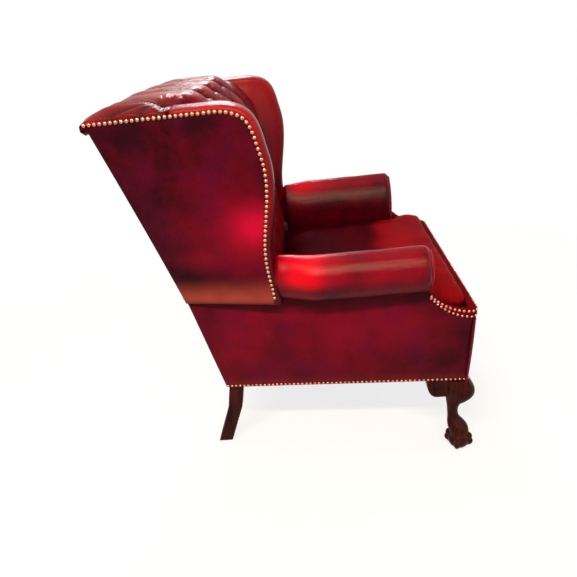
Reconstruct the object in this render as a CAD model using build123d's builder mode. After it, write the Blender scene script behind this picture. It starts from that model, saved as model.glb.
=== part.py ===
from build123d import *
import math
import os

# A wingback armchair with a deep-buttoned back, rolled arms and cabriole front legs.
# Lengths are in millimetres. +Z is up, the sitter faces -Y and +X is the sitter's left.
# The origin is on the floor below the middle of the chair. Left pieces are modelled, and
# the right ones are their mirror images.

# Clearances and cuts
seam = 0.3
overrun = 60.0

# Heights above the floor, each stacked on the one below it
leg_top = 228.0
rail_height = 80.0
border_rise = 126.0
deck_rise = 21.7
arm_rise = 68.3
arm_rail_rise = 48.0
arm_rail_height = 25.0
wing_rise = 479.0
back_drop = 18.0
rail_top = leg_top + rail_height
lip_foot = rail_top + border_rise
deck_top = lip_foot + deck_rise
arm_under = deck_top + arm_rise
arm_rail_foot = arm_under + arm_rail_rise
arm_rail_top = arm_rail_foot + arm_rail_height
wing_top = arm_under + wing_rise
back_top = wing_top - back_drop

# Depths, from front to rear: the front of the border's top, then what lies behind it
border_top_y = -440.0
border_lean = 9.0
arm_setback = 127.0
arm_length = 375.0
back_setback = 12.3
pad_lean = 165.7
back_foot_y = 256.0
knee_rake = 60.0
back_rake = 119.0
crest_overhang = 11.5
border_foot_y = border_top_y + border_lean
arm_front_y = border_top_y + arm_setback
wing_front_y = arm_front_y + arm_length
back_front_y = wing_front_y + back_setback
crest_front_y = back_front_y + pad_lean
back_knee_y = back_foot_y + knee_rake
back_top_y = back_knee_y + back_rake
crest_rear_y = back_top_y + crest_overhang

# Half widths: the seat's, and how far each corner of the body stands outside it
seat_half = 270.0
front_foot_out = 63.0
front_top_out = 77.0
rear_foot_out = 14.0
rear_knee_out = 22.0
wing_foot_out = 80.0
wing_top_out = 83.0
wing_rear_foot_out = 8.0
wing_rear_top_out = 72.0
front_foot_half = seat_half + front_foot_out
front_top_half = seat_half + front_top_out
rear_foot_half = seat_half + rear_foot_out
rear_knee_half = seat_half + rear_knee_out
wing_foot_half = seat_half + wing_foot_out
wing_top_half = seat_half + wing_top_out
wing_rear_foot_half = seat_half + wing_rear_foot_out
wing_rear_top_half = seat_half + wing_rear_top_out

# Coverings and boards
panel_thick = 8.0
back_panel_thick = 6.0
frame_thick = 30.0
wood_inset = panel_thick + seam
# The sides wind between front and rear, so straight edges behind them stand back a little
wind_relief = 1.5
# Directions closer than this count as parallel
arc_limit = 1e-6


def between(start, end, share):
    """A value part of the way from start to end."""
    return start + (end - start) * share


def body_half(y, z):
    """Half width of the body below the arms, at a depth and a height."""
    back_share = (y - border_top_y) / (back_knee_y - border_top_y)
    up_share = (z - leg_top) / (arm_under - leg_top)
    foot = between(front_foot_half, rear_foot_half, back_share)
    top = between(front_top_half, rear_knee_half, back_share)
    return between(foot, top, up_share)


def wing_half(y, z):
    """Half width over the wings, which lean outwards towards the top of the back."""
    back_share = (y - wing_front_y) / (crest_rear_y - wing_front_y)
    up_share = (z - arm_under) / (wing_top - arm_under)
    foot = between(wing_foot_half, wing_rear_foot_half, back_share)
    top = between(wing_top_half, wing_rear_top_half, back_share)
    return between(foot, top, up_share)


def back_y(z):
    """Depth of the rear face of the chair at a height: it has a knee at the arms."""
    if z < arm_under:
        return between(back_foot_y, back_knee_y, (z - leg_top) / (arm_under - leg_top))
    return between(back_knee_y, back_top_y, (z - arm_under) / (back_top - arm_under))


def side_slice(half, y, foot, top, outer, inner):
    """Corners of a slice of a side, between two depths below its outer surface."""
    return [
        (half(y, foot) - outer, foot),
        (half(y, top) - outer, top),
        (half(y, top) - inner, top),
        (half(y, foot) - inner, foot),
    ]


def side_layer(half, front, rear, foot, top, outer, inner):
    """A ruled board or skin in a side, from one depth to another."""
    with BuildPart() as layer:
        for y in (front, rear):
            with BuildSketch(Plane.XZ.offset(-y)):
                Polygon(*side_slice(half, y, foot, top, outer, inner))
        loft(ruled=True)
    return layer


def biarc_joint(start, start_direction, end, end_direction):
    """Where two arcs meet that leave one point and reach another in given unit directions."""
    span = Vector(end) - Vector(start)
    start_direction = Vector(start_direction)
    end_direction = Vector(end_direction)
    pull = span.dot(start_direction + end_direction)
    turn = 2 * (1 - start_direction.dot(end_direction))
    if abs(turn) < arc_limit:
        reach = span.dot(span) / (2 * pull)
    else:
        reach = (math.sqrt(pull * pull + turn * span.dot(span)) - pull) / turn
    return (Vector(start) + Vector(end) + (start_direction - end_direction) * reach) / 2


def biarc(start, start_direction, end, end_direction):
    """Two tangent arcs between two points with given directions."""
    joint = biarc_joint(start, start_direction, end, end_direction)
    first = TangentArc(start, joint, tangent=start_direction)
    TangentArc(joint, end, tangent=first % 1)
    return first


def mirrored(piece):
    """The right-hand twin of a left-hand piece."""
    with BuildPart() as twin:
        mirror(piece.part, about=Plane.YZ)
    return twin


# Back posts: each rear leg and its post are one raked piece
post_width = 34.0
post_depth = 42.0
post_skin = back_panel_thick + seam
rear_foot_inset = 34.0
rear_foot_sweep = 42.0
rear_foot_x = rear_foot_half - rear_foot_inset
rear_foot_y = back_foot_y + rear_foot_sweep
rear_foot_width = 29.0
glide_height = 3.0
glide_radius = 12.0
# Shares of the rear leg's height and sweep that lie below its bend
rear_bend_share = 0.614
rear_sweep_share = 0.75
rear_leg_bend = leg_top * rear_bend_share


def post_centre(z):
    """Middle of the back post at a height, inside the side skin and the back skin."""
    half = body_half(back_y(z), z)
    if z > arm_under:
        half = wing_half(back_y(z), z)
    x = half - wood_inset - wind_relief - post_width / 2
    return x, back_y(z) - post_skin - post_depth / 2


bend_x = between(rear_foot_x, post_centre(leg_top)[0], rear_leg_bend / leg_top)
bend_y = between(rear_foot_y, post_centre(leg_top)[1], rear_sweep_share)
post_stations = [
    (glide_height, rear_foot_x, rear_foot_y, rear_foot_width, post_depth),
    (rear_leg_bend, bend_x, bend_y, post_width, post_depth),
]
back_middle = (arm_under + back_top) / 2
for z in (leg_top, arm_under, back_middle, back_top):
    post_stations.append((z, *post_centre(z), post_width, post_depth))

with BuildPart() as left_back_post:
    for lower, upper in zip(post_stations, post_stations[1:]):
        for z, x, y, width, depth in (lower, upper):
            with BuildSketch(Plane((x, y, z))):
                Rectangle(width, depth)
        loft(ruled=True)
right_back_post = mirrored(left_back_post)


def post_front_y(z):
    """Depth of the back post's front face at a height."""
    return post_centre(z)[1] - post_depth / 2


# Seat rails
front_rail_y = border_foot_y + wood_inset
with BuildPart() as front_seat_rail:
    with BuildSketch(Plane.XY.offset(leg_top)):
        inner_y = front_rail_y + frame_thick
        Polygon(
            (-body_half(front_rail_y, leg_top) + wood_inset, front_rail_y),
            (body_half(front_rail_y, leg_top) - wood_inset, front_rail_y),
            (body_half(inner_y, leg_top) - wood_inset, inner_y),
            (-body_half(inner_y, leg_top) + wood_inset, inner_y),
        )
    extrude(amount=rail_height)

side_rail_front_y = front_rail_y + frame_thick
side_rail_rear_y = post_front_y(leg_top)
left_side_rail = side_layer(
    body_half,
    side_rail_front_y,
    side_rail_rear_y,
    leg_top,
    rail_top,
    wood_inset,
    wood_inset + frame_thick,
)
right_side_rail = mirrored(left_side_rail)

back_rail_half = post_centre(leg_top)[0] - post_width / 2
back_rail_y = post_front_y(leg_top) + post_depth / 2
with BuildPart() as back_seat_rail:
    with BuildSketch(Plane.XY.offset(leg_top)):
        with Locations((0, back_rail_y)):
            Rectangle(2 * back_rail_half, frame_thick)
    extrude(amount=rail_height)

# Corner blocks: triangles screwed into the corners of the seat frame
block_leg = 78.0
block_height = 55.0
block_drop = 12.0
block_foot = rail_top - block_drop - block_height
front_block_x = body_half(side_rail_front_y + block_leg, leg_top) - wood_inset - frame_thick
rear_block_y = back_rail_y - frame_thick / 2
rear_block_x = body_half(rear_block_y, leg_top) - wood_inset - frame_thick - seam

# Front legs: cabrioles with a knee, a thin ankle and a claw that holds a ball
leg_inset = 29.0
leg_setback = 28.5
leg_top_size = 57.0
knee_drop = 36.0
knee_out = 9.0
knee_forward = 7.0
knee_size = 73.0
ankle_height = 122.0
ankle_out = 21.0
ankle_back = 12.5
ankle_size = 33.0
cuff_height = 76.0
foot_out = 39.0
foot_forward = 5.5
cuff_size = 46.0
ball_radius = 30.5
claw_radius = 5.6
claw_start_angle = 62.0
claw_end_angle = -38.0
claw_turns = (22.5, 112.5, 202.5, 292.5)
claw_sides = 6
leg_sides = 14
ball_slices = 7
# Shares along a claw, and its thickness there: two knuckles, then the nail
claw_shares = ((0, 1.0), (0.24, 0.95), (0.42, 1.3), (0.58, 0.95), (0.76, 1.2), (1, 0.6))
bolt_radius = 4.8
bolt_tail = 4.0
bolt_sink = 42.0
nut_radius = 9.0
nut_height = 7.0
nut_sides = 6
leg_top_x = front_foot_half - leg_inset
leg_top_y = border_foot_y + leg_setback
foot_x = leg_top_x + foot_out
foot_y = leg_top_y - foot_forward
# The ball is cut flat where it stands on its glide
ball_tilt = math.asin(glide_radius / ball_radius)
ball_height = glide_height + ball_radius * math.cos(ball_tilt)
ball_centre = (foot_x, foot_y, ball_height)
# The leg's turning points: height, middle, width, and slices down to the next
leg_turns = [
    (leg_top, leg_top_x, leg_top_y, leg_top_size, 2),
    (leg_top - knee_drop, leg_top_x + knee_out, leg_top_y - knee_forward, knee_size, 6),
    (ankle_height, leg_top_x + ankle_out, leg_top_y + ankle_back, ankle_size, 4),
    (cuff_height, foot_x, foot_y, cuff_size, 1),
    ((ball_height + cuff_height) / 2, foot_x, foot_y, cuff_size, 0),
]


def leg_slices():
    """Height, middle and width of the leg's slices, eased between its turning points."""
    slices = [leg_turns[0][:-1]]
    for upper, lower in zip(leg_turns, leg_turns[1:]):
        for count in range(1, upper[-1] + 1):
            share = count / upper[-1]
            eased = share * share * (3 - 2 * share)
            swept = [between(a, b, eased) for a, b in zip(upper[1:-1], lower[1:-1])]
            slices.append((between(upper[0], lower[0], share), *swept))
    return slices


with BuildPart() as left_front_leg:
    for z, x, y, size in leg_slices():
        with BuildSketch(Plane((x, y, z))):
            RegularPolygon(size / 2, leg_sides)
    loft(ruled=True)
    for count in range(ball_slices + 1):
        polar = between(ball_tilt, math.pi - ball_tilt, count / ball_slices)
        with BuildSketch(Plane((foot_x, foot_y, ball_height + ball_radius * math.cos(polar)))):
            RegularPolygon(ball_radius * math.sin(polar), leg_sides)
    loft(ruled=True)
    for turn in claw_turns:
        claw_plane = Plane(
            origin=ball_centre,
            x_dir=(math.cos(math.radians(turn)), math.sin(math.radians(turn)), 0),
            z_dir=(math.sin(math.radians(turn)), -math.cos(math.radians(turn)), 0),
        )
        with BuildLine(claw_plane) as claw_path:
            CenterArc((0, 0), ball_radius, claw_start_angle, claw_end_angle - claw_start_angle)
        for place_share, thick_share in claw_shares:
            middle = claw_path.line @ place_share
            with BuildSketch(Plane(middle, x_dir=claw_plane.z_dir, z_dir=claw_path.line % place_share)):
                RegularPolygon(claw_radius * thick_share, claw_sides)
        loft(ruled=True)
    split(bisect_by=Plane.XY.offset(glide_height), keep=Keep.TOP)
    with Locations((leg_top_x, leg_top_y, leg_top)):
        Cylinder(
            bolt_radius,
            bolt_sink,
            align=(Align.CENTER, Align.CENTER, Align.MAX),
            mode=Mode.SUBTRACT,
        )
right_front_leg = mirrored(left_front_leg)

# Hanger bolts: each front leg is drawn up to the seat frame by a bolt and nut
bolt_length = bolt_sink + rail_height + nut_height + bolt_tail
with BuildPart() as leg_bolts:
    for side in (-1, 1):
        with Locations((side * leg_top_x, leg_top_y, leg_top - bolt_sink)):
            Cylinder(
                bolt_radius - seam,
                bolt_length,
                align=(Align.CENTER, Align.CENTER, Align.MIN),
            )
        with BuildSketch(Plane((side * leg_top_x, leg_top_y, rail_top + seam))):
            RegularPolygon(nut_radius, nut_sides)
        extrude(amount=nut_height)

bolt_hole_radius = bolt_radius + seam
with BuildPart() as front_rail_with_holes:
    add(front_seat_rail.part)
    for side in (-1, 1):
        with Locations((side * leg_top_x, leg_top_y, leg_top)):
            Cylinder(
                bolt_hole_radius,
                rail_height,
                align=(Align.CENTER, Align.CENTER, Align.MIN),
                mode=Mode.SUBTRACT,
            )
front_seat_rail = front_rail_with_holes

with BuildPart() as corner_blocks:
    with BuildSketch(Plane.XY.offset(block_foot)):
        front_y = side_rail_front_y
        Polygon(
            (front_block_x, front_y),
            (front_block_x, front_y + block_leg),
            (front_block_x - block_leg, front_y),
        )
        Polygon(
            (rear_block_x, rear_block_y),
            (rear_block_x - block_leg, rear_block_y),
            (rear_block_x, rear_block_y - block_leg),
        )
    extrude(amount=block_height)
    mirror(about=Plane.YZ)
    add(left_back_post.part, mode=Mode.SUBTRACT)
    add(right_back_post.part, mode=Mode.SUBTRACT)

# Knee brackets: shaped ears that carry the knee into the rails
ear_length = 54.0
ear_height = 44.0
ear_tip = 7.0
ear_thick = 22.0
ear_waist = 20.0
leg_rear_y = leg_top_y + leg_top_size / 2
leg_inner_x = leg_top_x - leg_top_size / 2


def ear_outline():
    """A bracket drawn from the leg, at the left, to its thin tip at the right."""
    Line((0, 0), (ear_length, 0))
    Line((ear_length, 0), (ear_length, -ear_tip))
    ThreePointArc((ear_length, -ear_tip), (ear_waist, -ear_waist), (ear_tip, -ear_height))
    Line((ear_tip, -ear_height), (0, -ear_height))
    Line((0, -ear_height), (0, 0))


ear_side_x = body_half(leg_rear_y + ear_length, leg_top) - wood_inset - ear_thick
with BuildPart() as left_knee_brackets:
    side_ear_plane = Plane(
        origin=(ear_side_x, leg_rear_y + seam, leg_top), x_dir=(0, 1, 0), z_dir=(1, 0, 0)
    )
    with BuildSketch(side_ear_plane):
        with BuildLine():
            ear_outline()
        make_face()
    extrude(amount=ear_thick)
    front_ear_plane = Plane(
        origin=(leg_inner_x - seam, front_rail_y, leg_top), x_dir=(-1, 0, 0), z_dir=(0, 1, 0)
    )
    with BuildSketch(front_ear_plane):
        with BuildLine():
            ear_outline()
        make_face()
    extrude(amount=ear_thick)
    add(left_front_leg.part, mode=Mode.SUBTRACT)
right_knee_brackets = mirrored(left_knee_brackets)

# Glides under the four feet
with BuildPart() as leg_glides:
    for side in (-1, 1):
        with Locations((side * foot_x, foot_y, 0), (side * rear_foot_x, rear_foot_y, 0)):
            Cylinder(
                glide_radius,
                glide_height,
                align=(Align.CENTER, Align.CENTER, Align.MIN),
            )

# Arm frame: stump, arm rail and the stay that the outside arm is tacked to
arm_front_pad = 14.0
arm_post_depth = 37.0
arm_post_width = 32.0
arm_post_lean = 9.0
arm_post_front_y = arm_front_y + arm_front_pad
arm_post_rear_y = arm_post_front_y + arm_post_depth
stay_height = 25.0
stay_thick = 22.0
arm_rail_width = 46.0
arm_rail_out = 57.0
arm_bend_back = 42.0
arm_bend_out = 45.0
arm_bend_width = 36.0
arm_bend_y = wing_front_y + arm_bend_back
post_joint_y = post_front_y(arm_rail_foot) - seam
stay_top = arm_under - seam
stay_foot = stay_top - stay_height
arm_post_foot_x = body_half(arm_post_rear_y, rail_top) - wood_inset - arm_post_width / 2
arm_post_middle_y = (arm_post_front_y + arm_post_rear_y) / 2
with BuildPart() as left_arm_post:
    with BuildSketch(Plane((arm_post_foot_x, arm_post_middle_y, rail_top))):
        Rectangle(arm_post_width, arm_post_depth)
    with BuildSketch(
        Plane((arm_post_foot_x + arm_post_lean, arm_post_middle_y, arm_rail_foot))
    ):
        Rectangle(arm_post_width, arm_post_depth)
    loft(ruled=True)
right_arm_post = mirrored(left_arm_post)

arm_rail_middle = (arm_rail_foot + arm_rail_top) / 2
arm_rail_stations = [
    (arm_post_front_y, seat_half + arm_rail_out, arm_rail_width),
    (arm_bend_y, seat_half + arm_bend_out, arm_bend_width),
    (post_joint_y, post_centre(arm_rail_middle)[0], post_width),
]
with BuildPart() as left_arm_rail:
    for ahead, behind in zip(arm_rail_stations, arm_rail_stations[1:]):
        for y, x, width in (ahead, behind):
            with BuildSketch(Plane((x, y, arm_rail_middle), x_dir=(1, 0, 0), z_dir=(0, 1, 0))):
                Rectangle(width, arm_rail_height)
        loft(ruled=True)
right_arm_rail = mirrored(left_arm_rail)

left_side_stay = side_layer(
    body_half,
    arm_post_rear_y + seam,
    post_front_y(stay_foot) - seam,
    stay_foot,
    stay_top,
    wood_inset,
    wood_inset + stay_thick,
)
right_side_stay = mirrored(left_side_stay)

# Wing frame: an upright on the arm rail and a rail back to the post
wing_post_setback = 12.0
wing_post_depth = 30.0
wing_rail_height = 30.0
wing_post_front_y = wing_front_y + wing_post_setback
wing_post_rear_y = wing_post_front_y + wing_post_depth
wing_rail_foot = back_top - wing_rail_height
wing_rail_rear_y = post_front_y(wing_rail_foot) - seam
left_wing_post = side_layer(
    wing_half,
    wing_post_front_y,
    wing_post_rear_y,
    arm_rail_top,
    wing_rail_foot - seam,
    wood_inset,
    wood_inset + frame_thick,
)
right_wing_post = mirrored(left_wing_post)
left_wing_rail = side_layer(
    wing_half,
    wing_post_front_y,
    wing_rail_rear_y,
    wing_rail_foot,
    back_top,
    wood_inset,
    wood_inset + frame_thick,
)
right_wing_rail = mirrored(left_wing_rail)

# Back rails between the posts
crest_rail_height = 62.0
back_stay_height = 70.0
back_stay_rise = 107.0
back_stay_foot = rail_top + back_stay_rise
cross_rail_inset = 6.0


def cross_rail(foot, height):
    """A rail across the back that follows the rake of the posts."""
    with BuildPart() as rail:
        with BuildSketch(Plane.YZ):
            front_foot = post_front_y(foot) + cross_rail_inset
            front_top = post_front_y(foot + height) + cross_rail_inset
            Polygon(
                (front_foot, foot),
                (front_foot + frame_thick, foot),
                (front_top + frame_thick, foot + height),
                (front_top, foot + height),
            )
        extrude(amount=post_centre(foot + height)[0], both=True)
        add(left_back_post.part, mode=Mode.SUBTRACT)
        add(right_back_post.part, mode=Mode.SUBTRACT)
    return rail


crest_rail = cross_rail(back_top - crest_rail_height, crest_rail_height)
back_stay_rail = cross_rail(back_stay_foot, back_stay_height)

# Seat webbing: straps both ways over the rails
strap_width = 50.0
strap_thick = 1.6
long_straps = 6
cross_straps = 6
strap_lap = 22.0
web_front_y = front_rail_y + frame_thick - strap_lap
web_rear_y = back_rail_y - frame_thick / 2 + strap_lap
web_half = back_rail_half - strap_width / 2
web_pitch_x = 2 * web_half / long_straps
with BuildPart() as seat_webbing:
    with BuildSketch(Plane.XY.offset(rail_top)):
        with Locations((0, (web_front_y + web_rear_y) / 2)):
            with GridLocations(web_pitch_x, 0, long_straps, 1):
                Rectangle(strap_width, web_rear_y - web_front_y)
    extrude(amount=strap_thick)
    for count in range(cross_straps):
        web_start_y = side_rail_front_y + block_leg + strap_width / 2
        web_end_y = rear_block_y - strap_width
        y = between(web_start_y, web_end_y, count / (cross_straps - 1))
        half = body_half(y, rail_top) - wood_inset - frame_thick + strap_lap
        with BuildSketch(Plane.XY.offset(rail_top + strap_thick + seam)):
            with Locations((0, y)):
                Rectangle(2 * half, strap_width)
        extrude(amount=strap_thick)
    add(left_arm_post.part, mode=Mode.SUBTRACT)
    add(right_arm_post.part, mode=Mode.SUBTRACT)

# Seat cushion: T-shaped, crowned above and below, with drawn-in sides
cushion_clear = 4.0
cushion_setback = 16.0
cushion_front_y = border_top_y + cushion_setback
cushion_rear_y = back_front_y - 2 * seam
ear_out = 48.0
ear_half = seat_half + ear_out
ear_rear_y = arm_front_y - panel_thick - cushion_clear
cushion_half = seat_half - cushion_clear
draw_in = 5.0
ear_draw_in = 2.5
cushion_foot = deck_top + seam
cushion_edge_rise = 32.3
crown_rise = 27.0
rear_top_rise = 4.0
front_top_drop = 1.0
belly_drop = 25.7
rear_foot_drop = 9.7
cushion_edge_top = deck_top + cushion_edge_rise
cushion_crown = cushion_edge_top + crown_rise
cushion_rear_top = cushion_edge_top + rear_top_rise
cushion_front_top = cushion_edge_top - front_top_drop
cushion_belly = deck_top - belly_drop
cushion_rear_foot = deck_top - rear_foot_drop
cushion_round = 13.0
cushion_corner = 22.0


def cushion_outline():
    """The T-shaped plan, its long sides drawn in between the corners."""
    middle_y = (cushion_front_y + cushion_rear_y) / 2
    front = ThreePointArc(
        (-ear_half, cushion_front_y), (0, cushion_front_y + ear_draw_in), (ear_half, cushion_front_y)
    )
    ear_middle = (ear_half - ear_draw_in, (cushion_front_y + ear_rear_y) / 2)
    ThreePointArc(front @ 1, ear_middle, (ear_half, ear_rear_y))
    Line((ear_half, ear_rear_y), (cushion_half, ear_rear_y))
    left_middle = (cushion_half - draw_in, (middle_y + ear_rear_y) / 2)
    ThreePointArc((cushion_half, ear_rear_y), left_middle, (cushion_half, cushion_rear_y))
    rear_middle = (0, cushion_rear_y - draw_in)
    ThreePointArc((cushion_half, cushion_rear_y), rear_middle, (-cushion_half, cushion_rear_y))
    right_middle = (-left_middle[0], left_middle[1])
    ThreePointArc((-cushion_half, cushion_rear_y), right_middle, (-cushion_half, ear_rear_y))
    Line((-cushion_half, ear_rear_y), (-ear_half, ear_rear_y))
    ThreePointArc((-ear_half, ear_rear_y), (-ear_middle[0], ear_middle[1]), front @ 0)


def crown_across(clear):
    """Front view of the crown, opened by a clearance."""
    ends = ear_half + overrun
    drop = (overrun / ear_half) * (cushion_crown - cushion_edge_top)
    top = ThreePointArc(
        (-ends, cushion_edge_top - drop + clear),
        (0, cushion_crown + clear),
        (ends, cushion_edge_top - drop + clear),
    )
    foot = ThreePointArc(
        (-ends, cushion_foot + drop - clear),
        (0, cushion_belly - clear),
        (ends, cushion_foot + drop - clear),
    )
    Line(top @ 0, foot @ 0)
    Line(top @ 1, foot @ 1)


def crown_along(clear):
    """Side view of the crown, opened by a clearance."""
    middle_y = (cushion_front_y + cushion_rear_y) / 2
    top = ThreePointArc(
        (cushion_front_y, cushion_front_top + clear),
        (middle_y, cushion_crown + clear),
        (cushion_rear_y, cushion_rear_top + clear),
    )
    foot = ThreePointArc(
        (cushion_front_y, cushion_foot - clear),
        (middle_y, cushion_belly - clear),
        (cushion_rear_y, cushion_rear_foot - clear),
    )
    Line(top @ 0, foot @ 0)
    Line(top @ 1, foot @ 1)


with BuildPart() as seat_cushion:
    with BuildSketch():
        with BuildLine():
            cushion_outline()
        make_face()
    extrude(amount=cushion_crown + overrun)
    upright_edges = seat_cushion.edges().filter_by(Axis.Z)
    fillet(upright_edges.group_by(Axis.Y)[0], cushion_corner)
    with BuildSketch(Plane.XZ) as front_view:
        with BuildLine():
            crown_across(0)
        make_face()
        Rectangle(2 * ear_half, 2 * cushion_crown, mode=Mode.INTERSECT)
        fillet(front_view.vertices(), cushion_round)
    extrude(amount=crest_rear_y, both=True, mode=Mode.INTERSECT)
    with BuildSketch(Plane.YZ) as side_view:
        with BuildLine():
            crown_along(0)
        make_face()
        fillet(side_view.vertices(), cushion_round)
    extrude(amount=ear_half + overrun, both=True, mode=Mode.INTERSECT)

# Seat deck: the sprung and stuffed platform, dished under the cushion
deck_foot = rail_top + 2 * strap_thick + 2 * seam
deck_front_y = border_foot_y + wood_inset + seam
deck_ear_gap = 1.0
deck_ear_half = ear_half + deck_ear_gap
facing_thick = 5.0
deck_step_y = arm_front_y - facing_thick - 2 * seam
deck_half = seat_half - seam
with BuildPart() as dish:
    with BuildSketch(Plane.XZ):
        with BuildLine():
            crown_across(seam)
        make_face()
    extrude(amount=crest_rear_y, both=True)
    with BuildSketch(Plane.YZ):
        with BuildLine():
            crown_along(seam)
        make_face()
    extrude(amount=ear_half + overrun, both=True, mode=Mode.INTERSECT)
with BuildPart() as seat_deck:
    with BuildSketch(Plane.XY.offset(deck_foot)):
        with Locations((0, (deck_front_y + back_front_y) / 2)):
            Rectangle(2 * deck_half, back_front_y - deck_front_y - seam)
        with Locations((0, (deck_front_y + deck_step_y) / 2)):
            Rectangle(2 * deck_ear_half, deck_step_y - deck_front_y)
    extrude(amount=deck_top - deck_foot)
    add(dish.part, mode=Mode.SUBTRACT)
    add(leg_bolts.part, mode=Mode.SUBTRACT)

# Outside panels
with BuildPart() as front_border:
    with BuildSketch(Plane.YZ):
        Polygon(
            (border_foot_y, leg_top),
            (border_foot_y + panel_thick, leg_top),
            (border_top_y + panel_thick, lip_foot),
            (border_top_y, lip_foot),
        )
    extrude(amount=front_top_half, both=True)
    with BuildSketch(Plane.XZ):
        Polygon(
            (-body_half(border_foot_y, leg_top), leg_top),
            (body_half(border_foot_y, leg_top), leg_top),
            (body_half(border_top_y, lip_foot), lip_foot),
            (-body_half(border_top_y, lip_foot), lip_foot),
        )
    extrude(amount=-border_top_y + overrun, mode=Mode.INTERSECT)

lip_start_drop = 25.0
lip_height = 26.0
lip_start_height = 15.0
lip_depth = 15.0
lip_width = 24.0
# Shares of the lip's depth and rise, from its front up to the arm, at its bend
lip_bend_share = 0.7213
lip_low_share = 0.4615
lip_high_share = 0.4259
lip_start_y = arm_front_y - facing_thick
lip_start_z = arm_under - lip_start_drop
lip_top = lip_foot + lip_height
lip_top_start_z = lip_start_z + lip_start_height
lip_bend_y = between(border_top_y, lip_start_y, lip_bend_share)
lip_bend_z = between(lip_foot, lip_start_z, lip_low_share)
lip_top_bend_z = between(lip_top, lip_top_start_z, lip_high_share)
left_outside_arm = side_layer(
    body_half, border_top_y + panel_thick, back_y(arm_under), leg_top, arm_under, 0, panel_thick
)
with BuildPart() as outside_arm_cut:
    add(left_outside_arm.part)
    with BuildSketch(Plane.YZ):
        with BuildLine():
            Line((border_foot_y + panel_thick, leg_top), (back_foot_y, leg_top))
            Line((back_foot_y, leg_top), (back_knee_y, arm_under))
            Line((back_knee_y, arm_under), (lip_start_y, arm_under))
            Line((lip_start_y, arm_under), (lip_start_y, lip_start_z))
            ThreePointArc(
                (lip_start_y, lip_start_z),
                (lip_bend_y, lip_bend_z),
                (border_top_y + panel_thick, lip_foot),
            )
            Line(
                (border_top_y + panel_thick, lip_foot),
                (border_foot_y + panel_thick, leg_top),
            )
        make_face()
    extrude(amount=front_top_half + overrun, mode=Mode.INTERSECT)
left_outside_arm = outside_arm_cut
right_outside_arm = mirrored(left_outside_arm)

# Seat lip: the nailed band that sweeps down from the arms and across the front
with BuildPart() as seat_lip:
    with BuildSketch(Plane.YZ):
        with BuildLine():
            ThreePointArc(
                (lip_start_y, lip_start_z + seam),
                (lip_bend_y, lip_bend_z + seam),
                (border_top_y, lip_foot + seam),
            )
            Line((border_top_y, lip_foot + seam), (border_top_y, lip_top))
            ThreePointArc(
                (border_top_y, lip_top),
                (lip_bend_y, lip_top_bend_z),
                (lip_start_y, lip_top_start_z),
            )
            Line((lip_start_y, lip_top_start_z), (lip_start_y, lip_start_z + seam))
        make_face()
    extrude(amount=front_top_half)
    with BuildSketch(Plane.YZ):
        inner = front_top_half - lip_width
        Polygon(
            (border_top_y + lip_depth, leg_top),
            (lip_start_y + overrun, leg_top),
            (lip_start_y + overrun, arm_rail_foot),
            (border_top_y + lip_depth, arm_rail_foot),
        )
    extrude(amount=inner, mode=Mode.SUBTRACT)
    mirror(about=Plane.YZ)

# Arm pads: a roll over the arm rail and an inside face down to the deck
arm_foot_rise = 37.0
shoulder_rise = 36.0
roll_rise = 59.0
roll_radius = 57.0
arm_top_rise = 58.0
roll_gap = 2.0
roll_out = 65.0
arm_inside_thick = 26.0
arm_blend_ahead = 102.0
arm_neck_ahead = 38.0
neck_out = 42.0
neck_radius = 45.0
arm_foot = rail_top + arm_foot_rise
arm_shoulder = arm_under + shoulder_rise
roll_middle = arm_under + roll_rise
arm_top = roll_middle + arm_top_rise
roll_foot = arm_under + roll_gap
roll_x = seat_half + roll_out
roll_outer = roll_x + roll_radius
neck_x = seat_half + neck_out
neck_outer = neck_x + neck_radius
arm_blend_y = wing_front_y - arm_blend_ahead
arm_neck_y = wing_front_y - arm_neck_ahead
arm_arc_sides = 8
# Share of the way from the neck, where the roll meets the wing, to the full roll
neck_blend_share = 0.6


def arm_section(top_x, outer_x):
    """Keyhole section of the arm: inside face, roll, underside. Its arcs are returned."""
    rise = Line((seat_half, arm_foot), (seat_half, arm_shoulder))
    crown = TangentArc(rise @ 1, (top_x, arm_top), tangent=(0, 1))
    shoulder = TangentArc(crown @ 1, (outer_x, roll_middle), tangent=crown % 1)
    under = TangentArc(shoulder @ 1, (top_x, roll_foot), tangent=shoulder % 1)
    tuck = (seat_half + arm_inside_thick, roll_foot)
    Line(under @ 1, tuck)
    Line(tuck, (seat_half + arm_inside_thick, arm_foot))
    Line((seat_half + arm_inside_thick, arm_foot), rise @ 0)
    return crown, shoulder, under


def arm_corners(top_x, outer_x):
    """The same section with each arc in short flats."""
    with BuildLine():
        arcs = arm_section(top_x, outer_x)
    corners = [(seat_half, arm_foot)]
    for arc in arcs:
        corners += [arc @ (count / arm_arc_sides) for count in range(arm_arc_sides)]
    corners += [
        arcs[-1] @ 1,
        (seat_half + arm_inside_thick, roll_foot),
        (seat_half + arm_inside_thick, arm_foot),
    ]
    return corners


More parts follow.
